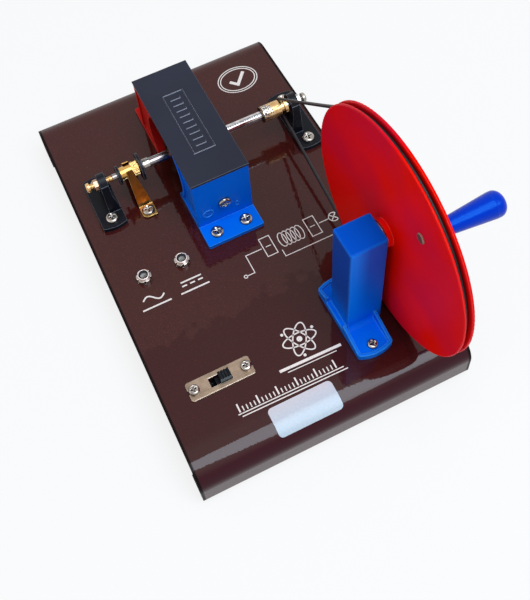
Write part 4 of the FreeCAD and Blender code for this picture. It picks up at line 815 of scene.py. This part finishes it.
def commutator_knurl(look):
    """Fine ribs on the right half of the commutator, none over the gaps between its segments."""
    low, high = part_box("commutator_segments")
    x0 = low.x + (high.x - low.x) * 0.62
    x1 = high.x - 0.2 * MM
    radius = (high.y - low.y) / 2
    root, crest = radius - 0.03 * MM, radius + 0.17 * MM
    ribs = 44
    gap_share = 0.55 * MM / radius + 0.03
    work = bmesh.new()
    for k in range(ribs):
        angle = 2 * math.pi * (k + 0.5) / ribs
        if abs(math.sin(angle)) < gap_share:
            continue
        corners = []
        for turn, r in ((-0.5, root), (-0.2, crest), (0.2, crest), (0.5, root)):
            a = angle + turn * 2 * math.pi / ribs
            corners.append((shaft_y + r * math.cos(a), shaft_z + r * math.sin(a)))
        tube(work, [[work.verts.new((x, y, z)) for y, z in corners] for x in (x0, x1)])
    mesh = finish_mesh("commutator_knurl", work)
    mesh_object("commutator_knurl", mesh, look, "armature")


def coil_loop(work, y, half_x, half_z, mid_x, wire_r):
    """One turn of wire round the core: a rounded rectangle in the XZ plane."""
    corner, corner_steps, round_steps = 3.0 * MM, 6, 8
    rings = []
    for quarter in range(4):
        cx = mid_x + (half_x - corner) * (1 if quarter in (0, 3) else -1)
        cz = shaft_z + (half_z - corner) * (1 if quarter in (0, 1) else -1)
        for k in range(corner_steps + 1):
            a = math.pi / 2 * quarter + math.pi / 2 * k / corner_steps
            point = Vector((cx + corner * math.cos(a), y, cz + corner * math.sin(a)))
            out = Vector((math.cos(a), 0, math.sin(a)))
            ring = []
            for j in range(round_steps):
                b = 2 * math.pi * j / round_steps
                ring.append(work.verts.new(point + out * wire_r * math.cos(b)
                                           + Vector((0, 1, 0)) * wire_r * math.sin(b)))
            rings.append(ring)
    tube(work, rings, closed=True)


def wound_coil(look):
    """Turns of enamelled wire side by side, several layers deep, round the core's web."""
    low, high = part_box("armature_winding")
    mid_x = (low.x + high.x) / 2
    wire_r, spare = 0.36 * MM, 0.03 * MM
    pitch = 2 * wire_r + spare
    layers, nesting = 3, 0.87       # each layer sinks into the grooves of the one under it
    count = int((high.y - low.y - 2 * wire_r) / pitch)
    work = bmesh.new()
    for layer in range(layers):
        odd = layer % 2
        inward = wire_r + layer * pitch * nesting
        half_x, half_z = (high.x - low.x) / 2 - inward, (high.z - low.z) / 2 - inward
        for k in range(count + 1 - odd):
            y = shaft_y + (k - count / 2) * pitch + pitch / 2 * odd
            coil_loop(work, y, half_x, half_z, mid_x, wire_r)
    mesh = finish_mesh("wound_coil", work, smooth=True)
    return mesh_object("wound_coil", mesh, look, "armature")


# --------------------------------------------------------------- stage and light
def floor():
    """Wide pale bench top that keeps the object's shadow."""
    half = 4.0
    background_share = 0.82
    mesh = bpy.data.meshes.new("floor")
    mesh.from_pydata([(-half, -half, 0), (half, -half, 0), (half, half, 0), (-half, half, 0)], [],
                     [(0, 1, 2, 3)])
    made = add_object("floor", mesh)
    look = Look("floor", roughness=0.9, base_color=(0.85, 0.85, 0.86, 1.0))
    glow = look.add("ShaderNodeEmission")
    glow.inputs["Strength"].default_value = 1.0
    mix = look.add("ShaderNodeMixShader")
    look.put(look.math("MULTIPLY", look.background_rays(), background_share), mix.inputs["Fac"])
    look.put(look.shader.outputs["BSDF"], mix.inputs[1])
    look.put(glow.outputs["Emission"], mix.inputs[2])
    look.put(mix.outputs["Shader"], look.tree.nodes["Material Output"].inputs["Surface"])
    mesh.materials.append(look.material)


def lamp(name, place, aim, size, power, colour):
    """Rectangular softbox."""
    data = bpy.data.lights.new(name, "AREA")
    data.shape = "RECTANGLE"
    data.size, data.size_y = size
    data.energy = power
    data.color = colour
    made = add_object(name, data)
    made.location = place
    made.rotation_euler = (Vector(aim) - Vector(place)).to_track_quat("-Z", "Y").to_euler()


def light():
    """A white room, dimmer as a light than as a background, and two softboxes."""
    room_strength, background_strength = 0.3, 1.0
    world = bpy.data.worlds.new("studio")
    bpy.context.scene.world = world
    world.use_nodes = True
    room = Nodes(world.node_tree)
    shade = room.tree.nodes["Background"]
    shade.inputs["Color"].default_value = WHITE
    room.put(room.scaled(room.background_rays(), room_strength, background_strength),
             shade.inputs["Strength"])
    lamp("overhead", place=(0.2, -0.40, 1.22), aim=(0.0, 0.0, 0.03), size=(0.62, 1.3), power=14.5,
         colour=(0.76, 0.89, 1.0))
    lamp("left", place=(-1.2, 0.1, 0.55), aim=(0.0, 0.0, 0.05), size=(0.8, 0.6), power=2.0,
         colour=(1.0, 0.9, 0.8))


def camera():
    """The photograph's view of the object, fitted to its outlines."""
    data = bpy.data.cameras.new("camera")
    data.lens = 55.0
    data.shift_x = 0.066
    data.shift_y = -0.168
    place = at(-83.35, -260.46, 452.62)
    aim = at(4.37, 17.27, 27.0)
    roll = math.radians(-9.01)
    made = add_object("camera", data)
    made.rotation_mode = "QUATERNION"
    made.location = place
    made.rotation_quaternion = (aim - place).to_track_quat("-Z", "Y") @ Quaternion((0, 0, 1), roll)
    bpy.context.scene.camera = made


bpy.context.scene.view_settings.view_transform = "Standard"
looks = make_looks()
dress_nodes(looks)
for draw in (front_rules, atom_mark, output_symbols, oval_mark, circuit_mark):
    draw(looks["print"])
front_label(looks["paper"])
pivot_threads(looks)
commutator_knurl(looks["segments"])
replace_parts(wound_coil(looks["copper"]), "armature_winding")
floor()
light()
camera()
